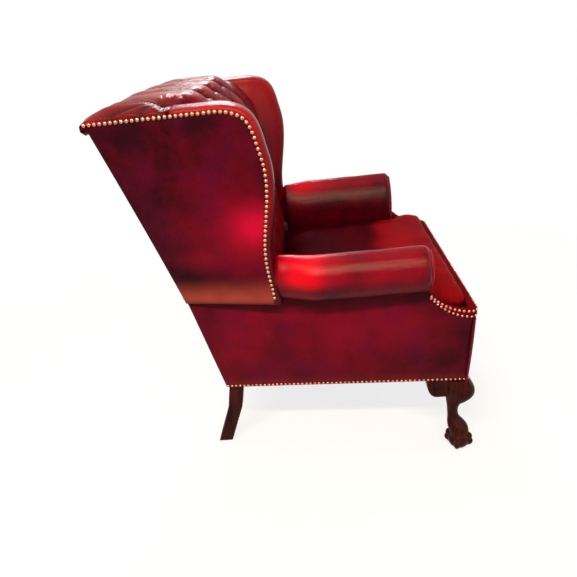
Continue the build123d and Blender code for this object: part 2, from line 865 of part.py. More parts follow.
arm_stations = [
    (arm_front_y, arm_corners(roll_x, roll_outer)),
    (arm_blend_y, arm_corners(roll_x, roll_outer)),
    (
        arm_neck_y,
        arm_corners(
            between(neck_x, roll_x, neck_blend_share),
            between(neck_outer, roll_outer, neck_blend_share),
        ),
    ),
    (wing_front_y - seam, arm_corners(neck_x, neck_outer)),
]
with BuildPart() as left_arm_pad:
    for y, corners in arm_stations:
        with BuildSketch(Plane.XZ.offset(-y)):
            Polygon(*corners)
    loft(ruled=True)
    with BuildSketch(Plane.XZ.offset(-wing_front_y + seam)):
        with Locations((seat_half + arm_inside_thick / 2, (arm_foot + arm_under) / 2)):
            Rectangle(arm_inside_thick, arm_under - arm_foot)
    extrude(amount=-(arm_bend_y - wing_front_y))
    for piece in (left_arm_post, left_arm_rail, left_side_stay, left_outside_arm):
        add(piece.part, mode=Mode.SUBTRACT)
right_arm_pad = mirrored(left_arm_pad)

# Arm facings: covered boards on the fronts of the arms
facing_inset = 5.0
with BuildPart() as left_arm_facing:
    with BuildSketch(Plane.XZ.offset(-arm_front_y + seam)):
        with BuildLine():
            arm_section(roll_x, roll_outer)
        make_face()
        offset(amount=-facing_inset, mode=Mode.REPLACE)
    extrude(amount=facing_thick)
right_arm_facing = mirrored(left_arm_facing)

# Outside wings: the nail line is the edge of this panel
nail_foot_back = 13.0
nail_waist_back = 22.0
nail_swell_back = 2.5
nail_corner_back = 31.5
nail_top_back = 88.0
# Shares of the wing's height at the turns of the nail line
nail_waist_share = 0.2422
nail_swell_share = 0.7954
nail_corner_share = 0.9666
nail_foot_y = wing_front_y + nail_foot_back
nail_top_y = wing_front_y + nail_top_back


def wing_outline(grow):
    """Front edge and top corner of a wing, grown outwards from the nail line: its two ends."""
    foot = (nail_foot_y - grow, arm_under)
    waist = (wing_front_y + nail_waist_back - grow, arm_under + nail_waist_share * wing_rise)
    swell = (wing_front_y + nail_swell_back - grow, arm_under + nail_swell_share * wing_rise)
    corner_rise = wing_rise * (1 - nail_corner_share)
    corner_run = nail_top_back - nail_corner_back
    # The last arc ends level, which settles how steeply it leaves the corner
    corner_tilt = 2 * math.atan2(corner_rise, corner_run)
    steep = (math.cos(corner_tilt), math.sin(corner_tilt))
    corner = (nail_top_y - corner_run - grow * steep[1], wing_top - corner_rise + grow * steep[0])
    upright = (0, 1)
    first = biarc(foot, upright, waist, upright)
    biarc(waist, upright, swell, upright)
    biarc(swell, upright, corner, steep)
    crown = TangentArc(corner, (nail_top_y, wing_top + grow), tangent=steep)
    return first @ 0, crown @ 1


left_outside_wing = side_layer(
    wing_half, wing_front_y - overrun, crest_rear_y + overrun, arm_under, wing_top, 0, panel_thick
)
with BuildPart() as outside_wing_cut:
    add(left_outside_wing.part)
    with BuildSketch(Plane.YZ):
        with BuildLine():
            edge_foot, edge_end = wing_outline(0)
            Polyline(
                edge_end,
                (back_top_y + back_panel_thick, wing_top),
                (back_top_y, back_top),
                (back_knee_y, arm_under),
                edge_foot,
            )
        make_face()
    extrude(amount=wing_top_half + overrun, mode=Mode.INTERSECT)
left_outside_wing = outside_wing_cut
right_outside_wing = mirrored(left_outside_wing)

# Wing pads: a stuffed inside face that rolls over the front and top of the wing frame
wing_roll = 20.0
wing_round = 13.0
wing_inner_round = 22.0
wing_flare = 34.0
wing_edge_sides = 16
wing_inner_x = seat_half + 2 * seam
wing_pad_thick = wing_top_half - wing_inner_x
# Quarter turns of a rim, as shares
rim_shares = (0, 0.33, 0.67, 1)


def wing_layers():
    """Layers of the pad: how deep each lies, and how far it stands back for a rolled rim."""
    layers = []
    for share in rim_shares:
        turn = share * math.pi / 2
        layers.append((wing_inner_round * (1 - math.cos(turn)), wing_inner_round * (1 - math.sin(turn))))
    for share in reversed(rim_shares):
        turn = share * math.pi / 2
        depth = wing_pad_thick - wing_round * (1 - math.cos(turn))
        layers.append((depth, wing_round * (1 - math.sin(turn))))
    return layers


def wing_layer(depth, inset):
    """Plane and corners of one layer ahead of the flare's hinge: the inside opens outwards."""
    flare = wing_flare * (1 - depth / wing_pad_thick)
    run = nail_top_y - wing_front_y + wing_roll
    length = math.hypot(flare, run)
    with BuildLine() as edge:
        wing_outline(wing_roll - inset)
    corners = []
    for count in range(wing_edge_sides + 1):
        point = edge.line @ (count / wing_edge_sides)
        corners.append(((nail_top_y - point.X) * length / run, point.Y))
    plane = Plane(
        origin=(wing_inner_x + depth, nail_top_y, 0),
        x_dir=(flare, -run, 0),
        z_dir=(-run, -flare, 0),
    )
    return plane, [*corners, (0, arm_under)]


wing_slices = [wing_layer(depth, inset) for depth, inset in wing_layers()]
wing_top_corners = [
    (wing_inner_x + depth, wing_top + wing_roll - inset) for depth, inset in wing_layers()
]
with BuildPart() as left_wing_pad:
    for layer_plane, corners in wing_slices:
        with BuildSketch(layer_plane):
            Polygon(*corners)
    loft(ruled=True)
    with BuildSketch(Plane.XZ.offset(-nail_top_y)):
        Polygon((wing_inner_x, arm_under), *wing_top_corners, (wing_top_half, arm_under))
    extrude(amount=nail_top_y - crest_front_y + seam)

# Outside back: one covered panel between the sides, bent at the knee
with BuildPart() as outside_back:
    with BuildSketch(Plane.YZ):
        Polygon(
            (back_foot_y, leg_top),
            (back_knee_y, arm_under),
            (back_top_y, back_top),
            (back_top_y - back_panel_thick, back_top),
            (back_knee_y - back_panel_thick, arm_under),
            (back_foot_y - back_panel_thick, leg_top),
        )
    extrude(amount=wing_top_half, both=True)
    with BuildSketch(Plane.XZ):
        edge_inset = wood_inset + wind_relief
        knee_half = body_half(back_knee_y, arm_under) - edge_inset
        foot_half = body_half(back_foot_y, leg_top) - edge_inset
        middle_half = wing_half(back_y(back_middle), back_middle) - edge_inset
        top_half = wing_half(back_top_y, back_top) - edge_inset
        Polygon(
            (-foot_half, leg_top),
            (foot_half, leg_top),
            (knee_half, arm_under),
            (middle_half, back_middle),
            (top_half, back_top),
            (-top_half, back_top),
            (-middle_half, back_middle),
            (-knee_half, arm_under),
        )
    extrude(amount=crest_rear_y + overrun, both=True, mode=Mode.INTERSECT)

# Inside back: a deep-buttoned pad that rolls over the crest
crest_rise = 35.0
crest_edge_drop = 3.0
crest_lip_rise = 7.0
crest_inset = 4.0
crest_round = 11.0
crest_top = wing_top + crest_rise
crest_edge_z = wing_top - crest_edge_drop
crest_lip_z = back_top + crest_lip_rise
crest_half = wing_top_half - crest_inset
webbing_room = 2 * strap_thick + seam
pad_half = seat_half - seam
# Shares of the pad's depth and rise at the turns of its front face, and its lean there
lumbar_share = 0.137
lumbar_rise_share = 0.459
shoulder_share = 0.33
shoulder_rise_share = 0.795
shoulder_lean = 25.0
front_end_share = 0.998
# Shares of the crest's depth and of its height, over the roll to the rear
crest_shares = [(0.42, 1.0), (0.8, 0.78)]
crest_arcs = len(crest_shares) + 1


def pad_front_point(depth_share, rise_share):
    """A point of the pad's front face in side view."""
    return (
        between(back_front_y, crest_front_y, depth_share),
        between(arm_under, crest_top, rise_share),
    )


def pad_front_line():
    """Side view of the pad's front face, from the arms up to the crest."""
    lumbar = pad_front_point(lumbar_share, lumbar_rise_share)
    shoulder = pad_front_point(shoulder_share, shoulder_rise_share)
    lean = (math.sin(math.radians(shoulder_lean)), math.cos(math.radians(shoulder_lean)))
    biarc((back_front_y, arm_under), (0, 1), lumbar, (0, 1))
    biarc(lumbar, (0, 1), shoulder, lean)
    biarc(shoulder, lean, pad_front_point(1, front_end_share), (1, 0))


def crest_line():
    """Side view of the roll, from the pad's front face to its rear edge."""
    points = [
        (
            between(crest_front_y, crest_rear_y, depth_share),
            between(crest_edge_z, crest_top, height_share),
        )
        for depth_share, height_share in crest_shares
    ]
    front = TangentArc(pad_front_point(1, front_end_share), points[0], tangent=(1, 0))
    crown = TangentArc(front @ 1, points[1], tangent=front % 1)
    TangentArc(crown @ 1, (crest_rear_y, crest_edge_z), tangent=crown % 1)


def crest_underside(inner_y):
    """Side view of the roll's underside, back to a depth over the frame."""
    Line((crest_rear_y, crest_edge_z), (crest_rear_y, crest_lip_z))
    Line((crest_rear_y, crest_lip_z), (back_top_y, back_top + seam))
    Line((back_top_y, back_top + seam), (inner_y, back_top + seam))


with BuildPart() as crest_roll:
    with BuildSketch(Plane.YZ):
        with BuildLine():
            crest_line()
            crest_underside(crest_front_y)
            Line((crest_front_y, back_top + seam), pad_front_point(1, front_end_share))
        make_face()
    extrude(amount=crest_half, both=True)
    for end_face in (crest_roll.faces().sort_by(Axis.X)[0], crest_roll.faces().sort_by(Axis.X)[-1]):
        chamfer(end_face.edges().sort_by(Axis.Z)[-crest_arcs:], crest_round)

# Buttoning: rows of buttons across the pad, joined by pleats into diamonds
button_pitch_share = 0.474
button_pitch = seat_half * button_pitch_share
button_radius = 10.0
button_height = 5.0
pit_radius = 36.0
pit_depth = 30.0
pit_floor_radius = 12.0
pit_sides = 6
button_sides = 10
button_taper = 38.0
pleat_depth = 9.0
pleat_height = 26.0
pleat_half_width = 27.0
# Shares of the front face's length at which the button rows lie
row_shares = [0.15, 0.31, 0.47, 0.63, 0.79, 0.95]
# Places of the buttons in a row, as shares of the pitch from the middle
straddling_shares = (-1.5, -0.5, 0.5, 1.5)
middle_shares = (-1, 0, 1)
top_shares = (-2, -1, 0, 1, 2)
pleat_end_share = 0.9
pit_flat_share = math.cos(math.pi / pit_sides)
pit_spread = (pit_radius - pit_floor_radius) * pit_flat_share
pit_taper = math.degrees(math.atan2(pit_spread, pit_depth + pleat_depth))

with BuildLine() as pad_front:
    pad_front_line()
front_wire = pad_front.line


def front_plane(x, share):
    """A plane on the pad's front face, facing out of it."""
    point = front_wire @ share
    tangent = front_wire % share
    outward = Vector(0, -tangent.Y, tangent.X)
    return Plane(origin=(x, point.X, point.Y), x_dir=(1, 0, 0), z_dir=outward)


def row_places(row):
    """Half widths of the buttons of a row: even rows straddle the middle."""
    shares = middle_shares
    if row % 2 == 0:
        shares = straddling_shares
    if row == len(row_shares) - 1:
        shares = top_shares
    return [share * button_pitch for share in shares]


def cut_pleat(start, end, outward):
    """A V-shaped valley between two points of the pad's face."""
    along = (end - start).normalized()
    across = outward.cross(along).normalized()
    with BuildSketch(Plane(origin=start, x_dir=across, z_dir=along)) as valley:
        Polygon((0, -pleat_depth), (pleat_half_width, pleat_height), (-pleat_half_width, pleat_height))
    extrude(valley.sketch, amount=(end - start).length, mode=Mode.SUBTRACT)


with BuildPart() as inside_back:
    with BuildSketch(Plane.YZ):
        with BuildLine():
            pad_front_line()
            crest_line()
            rear_top_y = post_front_y(back_top) - webbing_room
            crest_underside(rear_top_y)
            rear_knee_y = post_front_y(arm_under) - webbing_room
            rear_foot_pad_y = post_front_y(arm_foot) - webbing_room
            Line((rear_top_y, back_top + seam), (rear_knee_y, arm_under))
            Line((rear_knee_y, arm_under), (rear_foot_pad_y, arm_foot))
            Line((rear_foot_pad_y, arm_foot), (back_front_y, arm_foot))
            Line((back_front_y, arm_foot), (back_front_y, arm_under))
        make_face()
    extrude(amount=pad_half, both=True)
    for row, share in enumerate(row_shares[:-1]):
        upper_share = row_shares[row + 1]
        for x in row_places(row):
            for step in (-0.5, 0.5):
                lower = front_plane(x, share)
                upper = front_plane(x + step * button_pitch, upper_share)
                cut_pleat(lower.origin, upper.origin, lower.z_dir + upper.z_dir)
        if row % 2:
            for side in (-1, 1):
                lower = front_plane(side * top_shares[-1] * button_pitch, share)
                upper = front_plane(side * straddling_shares[-1] * button_pitch, upper_share)
                cut_pleat(lower.origin, upper.origin, lower.z_dir + upper.z_dir)
    add(crest_roll.part)
    for x in row_places(len(row_shares) - 1):
        start = front_plane(x, row_shares[-1])
        end_y = between(crest_front_y, crest_rear_y, pleat_end_share)
        cut_pleat(start.origin, Vector(x, end_y, crest_top - pleat_depth / 2), start.z_dir)
    for row, share in enumerate(row_shares):
        for x in row_places(row):
            with BuildSketch(front_plane(x, share).offset(pleat_depth)) as pit:
                RegularPolygon(pit_radius, pit_sides)
            extrude(pit.sketch, amount=-pit_depth - pleat_depth, taper=pit_taper, mode=Mode.SUBTRACT)

with BuildPart() as back_buttons:
    for row, share in enumerate(row_shares):
        for x in row_places(row):
            with BuildSketch(front_plane(x, share).offset(-pit_depth + seam)):
                RegularPolygon(button_radius, button_sides)
            extrude(amount=button_height, taper=button_taper)

# The wing pad and the roll close round the frame and the outside panel
wing_hollow = side_layer(
    wing_half,
    wing_post_front_y - seam,
    crest_rear_y,
    arm_under - overrun,
    back_top + seam,
    panel_thick - seam,
    wood_inset + frame_thick + seam,
)
wing_skin = side_layer(
    wing_half,
    wing_front_y - overrun,
    crest_rear_y + overrun,
    arm_under - overrun,
    wing_top + overrun,
    -overrun,
    panel_thick + seam,
)
with BuildPart() as wing_skin_cut:
    add(wing_skin.part)
    with BuildSketch(Plane.YZ):
        with BuildLine():
            edge_foot, edge_end = wing_outline(seam)
            Polyline(
                edge_foot,
                (nail_foot_y, arm_under - overrun),
                (crest_rear_y + overrun, arm_under - overrun),
                (crest_rear_y + overrun, wing_top + seam),
                edge_end,
            )
        make_face()
    extrude(amount=wing_top_half + overrun, mode=Mode.INTERSECT)
right_wing_skin_cut = mirrored(wing_skin_cut)

with BuildPart() as wing_pad_cut:
    add(left_wing_pad.part)
    add(wing_hollow.part, mode=Mode.SUBTRACT)
    add(wing_skin_cut.part, mode=Mode.SUBTRACT)
    add(left_arm_rail.part, mode=Mode.SUBTRACT)
    add(left_arm_pad.part, mode=Mode.SUBTRACT)
left_wing_pad = wing_pad_cut
right_wing_pad = mirrored(left_wing_pad)

with BuildPart() as inside_back_cut:
    add(inside_back.part)
    add(wing_skin_cut.part, mode=Mode.SUBTRACT)
    add(right_wing_skin_cut.part, mode=Mode.SUBTRACT)
    for piece in (left_arm_rail, right_arm_rail, left_side_stay, right_side_stay):
        add(piece.part, mode=Mode.SUBTRACT)
inside_back = inside_back_cut

# Back webbing: upright straps on the cross rails, level straps on the posts
upright_straps = 4
level_straps = 4
web_foot = back_stay_foot + cross_rail_inset
web_top = back_top - cross_rail_inset
upright_half = pad_half - strap_width
level_foot = arm_rail_top + cross_rail_inset
with BuildPart() as back_webbing:
    for count in range(upright_straps):
        x = between(-upright_half, upright_half, count / (upright_straps - 1))
        with BuildSketch(Plane.YZ.offset(x - strap_width / 2)):
            Polygon(
                (post_front_y(web_foot) + cross_rail_inset, web_foot),
                (post_front_y(arm_under) + cross_rail_inset, arm_under),
                (post_front_y(web_top) + cross_rail_inset, web_top),
                (post_front_y(web_top) + cross_rail_inset - strap_thick, web_top),
                (post_front_y(arm_under) + cross_rail_inset - strap_thick, arm_under),
                (post_front_y(web_foot) + cross_rail_inset - strap_thick, web_foot),
            )
        extrude(amount=strap_width)
    for count in range(level_straps):
        foot = between(level_foot, wing_rail_foot - strap_width, count / (level_straps - 1))
        top = foot + strap_width
        with BuildSketch(Plane.YZ):
            Polygon(
                (post_front_y(foot) - seam, foot),
                (post_front_y(top) - seam, top),
                (post_front_y(top) - seam - strap_thick, top),
                (post_front_y(foot) - seam - strap_thick, foot),
            )
        extrude(amount=post_centre(foot)[0], both=True)

# Dust cover under the seat frame, cut round the legs and brackets
cover_thick = 1.2
cover_inset = 14.0
with BuildPart() as dust_cover:
    with BuildSketch(Plane.XY.offset(leg_top - seam)):
        cover_front_y = border_foot_y + cover_inset
        cover_rear_y = back_foot_y - cover_inset
        Polygon(
            (-body_half(cover_front_y, leg_top) + cover_inset, cover_front_y),
            (body_half(cover_front_y, leg_top) - cover_inset, cover_front_y),
            (body_half(cover_rear_y, leg_top) - cover_inset, cover_rear_y),
            (-body_half(cover_rear_y, leg_top) + cover_inset, cover_rear_y),
        )
        with Locations((leg_top_x, leg_top_y), (-leg_top_x, leg_top_y)):
            Rectangle(
                leg_top_size + cover_thick, leg_top_size + cover_thick, mode=Mode.SUBTRACT
            )
    extrude(amount=-cover_thick)
    for piece in (
        left_front_leg,
        right_front_leg,
        left_back_post,
        right_back_post,
        left_knee_brackets,
        right_knee_brackets,
    ):
        add(piece.part, mode=Mode.SUBTRACT)

pieces = {
    "front_seat_rail": front_seat_rail,
    "left_side_rail": left_side_rail,
    "right_side_rail": right_side_rail,
    "back_seat_rail": back_seat_rail,
    "corner_blocks": corner_blocks,
    "left_front_leg": left_front_leg,
    "right_front_leg": right_front_leg,
    "left_knee_brackets": left_knee_brackets,
    "right_knee_brackets": right_knee_brackets,
    "leg_bolts": leg_bolts,
    "leg_glides": leg_glides,
    "left_back_post": left_back_post,
    "right_back_post": right_back_post,
    "crest_rail": crest_rail,
    "back_stay_rail": back_stay_rail,
    "left_arm_post": left_arm_post,
    "right_arm_post": right_arm_post,
    "left_arm_rail": left_arm_rail,
    "right_arm_rail": right_arm_rail,
    "left_side_stay": left_side_stay,
    "right_side_stay": right_side_stay,
    "left_wing_post": left_wing_post,
    "right_wing_post": right_wing_post,
    "left_wing_rail": left_wing_rail,
    "right_wing_rail": right_wing_rail,
    "seat_webbing": seat_webbing,
    "back_webbing": back_webbing,
    "seat_deck": seat_deck,
    "seat_cushion": seat_cushion,
    "seat_lip": seat_lip,
    "front_border": front_border,
    "left_outside_arm": left_outside_arm,
    "right_outside_arm": right_outside_arm,
    "left_outside_wing": left_outside_wing,
    "right_outside_wing": right_outside_wing,
    "outside_back": outside_back,
    "left_arm_pad": left_arm_pad,
    "right_arm_pad": right_arm_pad,
    "left_arm_facing": left_arm_facing,
    "right_arm_facing": right_arm_facing,
    "left_wing_pad": left_wing_pad,
    "right_wing_pad": right_wing_pad,
    "inside_back": inside_back,
    "back_buttons": back_buttons,
    "dust_cover": dust_cover,
}
os.makedirs("parts", exist_ok=True)
for name, piece in pieces.items():
    piece.part.label = name
    export_step(piece.part, f"parts/{name}.step")
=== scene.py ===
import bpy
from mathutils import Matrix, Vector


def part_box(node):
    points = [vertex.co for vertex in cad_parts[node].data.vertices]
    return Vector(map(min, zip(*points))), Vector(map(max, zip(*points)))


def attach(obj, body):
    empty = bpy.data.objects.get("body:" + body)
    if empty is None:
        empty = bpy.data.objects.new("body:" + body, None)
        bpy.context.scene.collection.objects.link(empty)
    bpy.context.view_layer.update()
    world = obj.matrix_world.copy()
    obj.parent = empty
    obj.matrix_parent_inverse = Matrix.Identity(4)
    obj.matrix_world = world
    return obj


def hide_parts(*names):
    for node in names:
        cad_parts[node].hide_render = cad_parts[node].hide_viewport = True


bl_info = {
    "name": "Wingback Chair",
    "version": (1, 0, 0),
    "blender": (4, 5, 0),
    "location": "3D View > Sidebar > Chair",
    "description": "Leather upholstery, nail trim, wood finish and studio for a wingback chair",
    "category": "Object",
}

import math

import bmesh
import bpy
import numpy as np
from bpy.props import FloatProperty, FloatVectorProperty, PointerProperty
from mathutils import Matrix, Vector, noise

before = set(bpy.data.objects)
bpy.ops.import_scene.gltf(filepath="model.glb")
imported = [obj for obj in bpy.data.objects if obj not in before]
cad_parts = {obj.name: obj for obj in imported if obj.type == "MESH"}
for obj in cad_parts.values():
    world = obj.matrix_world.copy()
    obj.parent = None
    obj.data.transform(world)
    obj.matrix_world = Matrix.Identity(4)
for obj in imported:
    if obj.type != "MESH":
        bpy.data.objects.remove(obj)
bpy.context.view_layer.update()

# Heights and depths read from the frame, in metres
foot_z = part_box("front_border")[0].z
lip_foot_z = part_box("front_border")[1].z
lip_top_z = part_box("seat_lip")[1].z
border_top_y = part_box("front_border")[0].y
arm_under_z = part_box("left_outside_wing")[0].z
wing_top_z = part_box("left_outside_wing")[1].z
arm_foot_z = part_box("left_arm_pad")[0].z
arm_top_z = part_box("left_arm_pad")[1].z
arm_front_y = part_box("left_arm_pad")[0].y
back_top_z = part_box("outside_back")[1].z
back_top_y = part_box("outside_back")[1].y
crest_top_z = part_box("inside_back")[1].z
crest_rear_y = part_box("inside_back")[1].y
crest_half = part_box("inside_back")[1].x
pad_front_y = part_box("inside_back")[0].y
front_top_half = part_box("front_border")[1].x
facing_front_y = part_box("left_arm_facing")[0].y

# Half widths and depths of the body where its straight lines meet
front_foot_half = 0.333
rear_foot_half = 0.284
rear_knee_half = 0.292
wing_foot_half = 0.350
wing_top_half = 0.353
wing_rear_foot_half = 0.278
wing_rear_top_half = 0.342
seat_half = 0.270
border_foot_y = -0.431
back_foot_y = 0.256
back_knee_y = 0.316
wing_front_y = 0.062
pad_foot_z = 0.44
# Farther than any point of the back from any pleat
far_off = 9.0

# Counts of steps that pieces share
front_steps = 44
lip_steps = 26
arm_steps = 88
quarter_steps = 8


def lerp(start, end, share):
    """A value part of the way from start to end."""
    return start + (end - start) * share


def ease(low, high, value):
    """Rises smoothly from 0 at low to 1 at high."""
    share = min(max((value - low) / (high - low), 0.0), 1.0)
    return share * share * (3 - 2 * share)


def body_half(y, z):
    """Half width of the body below the arms, at a depth and a height."""
    back_share = (y - border_top_y) / (back_knee_y - border_top_y)
    up_share = (z - foot_z) / (arm_under_z - foot_z)
    foot = lerp(front_foot_half, rear_foot_half, back_share)
    top = lerp(front_top_half, rear_knee_half, back_share)
    return lerp(foot, top, up_share)


def wing_half(y, z):
    """Half width over the wings, at a depth and a height."""
    back_share = (y - wing_front_y) / (crest_rear_y - wing_front_y)
    up_share = (z - arm_under_z) / (wing_top_z - arm_under_z)
    foot = lerp(wing_foot_half, wing_rear_foot_half, back_share)
    top = lerp(wing_top_half, wing_rear_top_half, back_share)
    return lerp(foot, top, up_share)


def back_y(z):
    """Depth of the chair's rear face at a height."""
    if z < arm_under_z:
        return lerp(back_foot_y, back_knee_y, (z - foot_z) / (arm_under_z - foot_z))
    return lerp(back_knee_y, back_top_y, (z - arm_under_z) / (back_top_z - arm_under_z))


def smooth_line(knots, count, first=None, last=None):
    """Evenly spaced points on a smooth curve through the knots, with optional end directions."""
    knots = [Vector(knot) for knot in knots]
    gaps = [(b - a).length for a, b in zip(knots, knots[1:])]
    slopes = [(knots[1] - knots[0]) / gaps[0]]
    for index in range(1, len(knots) - 1):
        before = (knots[index] - knots[index - 1]) / gaps[index - 1]
        after = (knots[index + 1] - knots[index]) / gaps[index]
        weight = gaps[index - 1] / (gaps[index - 1] + gaps[index])
        slopes.append(before.lerp(after, weight))
    slopes.append((knots[-1] - knots[-2]) / gaps[-1])
    if first:
        slopes[0] = Vector(first)
    if last:
        slopes[-1] = Vector(last)
    dense = []
    steps = 24
    for index, gap in enumerate(gaps):
        for step in range(steps):
            t = step / steps
            dense.append(
                knots[index] * (2 * t**3 - 3 * t**2 + 1)
                + slopes[index] * gap * (t**3 - 2 * t**2 + t)
                + knots[index + 1] * (3 * t**2 - 2 * t**3)
                + slopes[index + 1] * gap * (t**3 - t**2)
            )
    dense.append(knots[-1])
    return resample(dense, count)


def reaches(points):
    """Length of a line up to each of its points."""
    reach = [0.0]
    for a, b in zip(points, points[1:]):
        reach.append(reach[-1] + (b - a).length)
    return reach


def length_of(points):
    return reaches(points)[-1]


def even_places(points, count, margin=0.0):
    """Index and share of evenly spaced places on a line, a margin in from both ends."""
    reach = reaches(points)
    length = reach[-1] - 2 * margin
    index = 0
    for step in range(count):
        goal = margin + length * step / (count - 1)
        while index < len(points) - 2 and reach[index + 1] < goal:
            index += 1
        span = reach[index + 1] - reach[index]
        yield index, (goal - reach[index]) / span if span else 0


def resample(points, count):
    """The same line with evenly spaced points."""
    return [points[index].lerp(points[index + 1], share) for index, share in even_places(points, count)]


def turned_out(points):
    """Unit normals to the left of a flat line, whose points are (y, z) pairs."""
    normals = []
    for index in range(len(points)):
        ahead = points[min(index + 1, len(points) - 1)] - points[max(index - 1, 0)]
        ahead.normalize()
        normals.append(Vector((-ahead.y, ahead.x)))
    return normals


def quads(rows, columns, wrap=False):
    """Faces of a grid of points given row by row; wrap closes each row."""
    faces = []
    last = columns if wrap else columns - 1
    for row in range(rows - 1):
        for column in range(last):
            after = (column + 1) % columns
            faces.append(
                (
                    row * columns + column,
                    row * columns + after,
                    (row + 1) * columns + after,
                    (row + 1) * columns + column,
                )
            )
    return faces


def tube_faces(rows, columns):
    """Faces over rings of points, one row each, closed at both ends."""
    faces = quads(rows, columns, wrap=True)
    faces.append(tuple(range(columns - 1, -1, -1)))
    faces.append(tuple((rows - 1) * columns + index for index in range(columns)))
    return faces


def skin_faces(rows, columns):
    """Faces of an outer grid, of the like inner grid that follows it, and of the rim between them."""
    count = rows * columns
    faces = quads(rows, columns)
    faces += [tuple(index + count for index in reversed(face)) for face in faces]
    rim = list(range(columns))
    rim += [row * columns + columns - 1 for row in range(1, rows)]
    rim += [(rows - 1) * columns + index for index in range(columns - 2, -1, -1)]
    rim += [row * columns for row in range(rows - 2, 0, -1)]
    for a, b in zip(rim, rim[1:] + rim[:1]):
        faces.append((b, a, a + count, b + count))
    return faces


def piece(name, points, faces, material, slot, painted_shades=None, painted_lights=None, warms=None, body="chair"):
    """Makes a closed, smooth mesh object that rides on a body; its slot argument is not used."""
    mesh = bpy.data.meshes.new(name)
    mesh.from_pydata([tuple(point) for point in points], [], faces)
    for label, values in (("painted_shade", painted_shades), ("painted_light", painted_lights), ("warm", warms)):
        if values is not None:
            layer = mesh.attributes.new(label, "FLOAT", "POINT")
            layer.data.foreach_set("value", [float(value) for value in values])
    work = bmesh.new()
    work.from_mesh(mesh)
    bmesh.ops.recalc_face_normals(work, faces=work.faces)
    work.to_mesh(mesh)
    work.free()
    mesh.shade_smooth()
    thing = bpy.data.objects.new(name, mesh)
    bpy.context.scene.collection.objects.link(thing)
    mesh.materials.append(material)
    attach(thing, body)
    return thing


def paired(left, node=None):
    """Adds the mirrored right-hand piece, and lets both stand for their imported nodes."""
    mesh = left.data.copy()
    mesh.transform(Matrix.Scale(-1, 4, (1, 0, 0)))
    mesh.flip_normals()
    right = bpy.data.objects.new(left.name.replace("left", "right"), mesh)
    bpy.context.scene.collection.objects.link(right)
    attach(right, "chair")
    if node:
        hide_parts("left_" + node)
        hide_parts("right_" + node)


def shell(rows, thick):
    """Closes a grid of (point, normal) pairs into a skin of the given thickness."""
    outer = [point for row in rows for point, normal in row]
    inner = [point - normal * thick for row in rows for point, normal in row]
    return outer + inner, skin_faces(len(rows), len(rows[0]))


def edged_steps(count, length, margin):
    """Shares from 0 to 1, with close steps within a margin of both ends."""
    near = [0, margin * 0.2 / length, margin * 0.5 / length, margin / length, 2 * margin / length]
    middle = [lerp(near[-1], 1 - near[-1], step / count) for step in range(1, count)]
    return near + middle + [1 - share for share in reversed(near)]


def rolled_edge(s, t, width, height, margin, depth, flush_front=False):
    """How far a covered board falls away near its edges."""
    gap = min((1 - s) * width, t * height, (1 - t) * height)
    if not flush_front:
        gap = min(gap, s * width)
    if gap >= margin:
        return 0.0
    return depth * (1 - math.sqrt(1 - (1 - gap / margin) ** 2))


def ripple(point, scale, seed):
    """Smooth unevenness between -1 and 1."""
    return noise.noise(Vector(point) * scale + Vector((seed, seed * 0.7, seed * 1.3)))


# Shader groups, built once and used by every finish


def new_group(name, inputs, outputs):
    """An empty node group with its sockets, and its input and output nodes."""
    group = bpy.data.node_groups.new(name, "ShaderNodeTree")
    for label, kind, value in inputs:
        socket = group.interface.new_socket(label, in_out="INPUT", socket_type=kind)
        socket.default_value = value
    for label, kind in outputs:
        group.interface.new_socket(label, in_out="OUTPUT", socket_type=kind)
    start = group.nodes.new("NodeGroupInput")
    end = group.nodes.new("NodeGroupOutput")
    return group, start, end


def wire(tree, output, socket):
    tree.links.new(output, socket)


def math_node(tree, operation, first, second=None, clamp=False):
    node = tree.nodes.new("ShaderNodeMath")
    node.operation = operation
    node.use_clamp = clamp
    for socket, value in zip(node.inputs, (first, second)):
        if value is None:
            continue
        if isinstance(value, (int, float)):
            socket.default_value = value
        else:
            wire(tree, value, socket)
    return node.outputs[0]


def noise_node(tree, vector, scale, detail, rough=0.5):
    node = tree.nodes.new("ShaderNodeTexNoise")
    node.inputs["Detail"].default_value = detail
    node.inputs["Roughness"].default_value = rough
    wire(tree, vector, node.inputs["Vector"])
    if isinstance(scale, (int, float)):
        node.inputs["Scale"].default_value = scale
    else:
        wire(tree, scale, node.inputs["Scale"])
    return node.outputs["Fac"]


def range_node(tree, value, low, high, new_low, new_high):
    node = tree.nodes.new("ShaderNodeMapRange")
    wire(tree, value, node.inputs["Value"])
    for label, number in zip(("From Min", "From Max", "To Min", "To Max"), (low, high, new_low, new_high)):
        node.inputs[label].default_value = number
    return node.outputs["Result"]


def mix_node(tree, share, first, second, blend="MIX"):
    node = tree.nodes.new("ShaderNodeMix")
    node.data_type = "RGBA"
    node.blend_type = blend
    for label, value in ((0, share), (6, first), (7, second)):
        if isinstance(value, (int, float, tuple)):
            node.inputs[label].default_value = value
        else:
            wire(tree, value, node.inputs[label])
    return node.outputs[2]


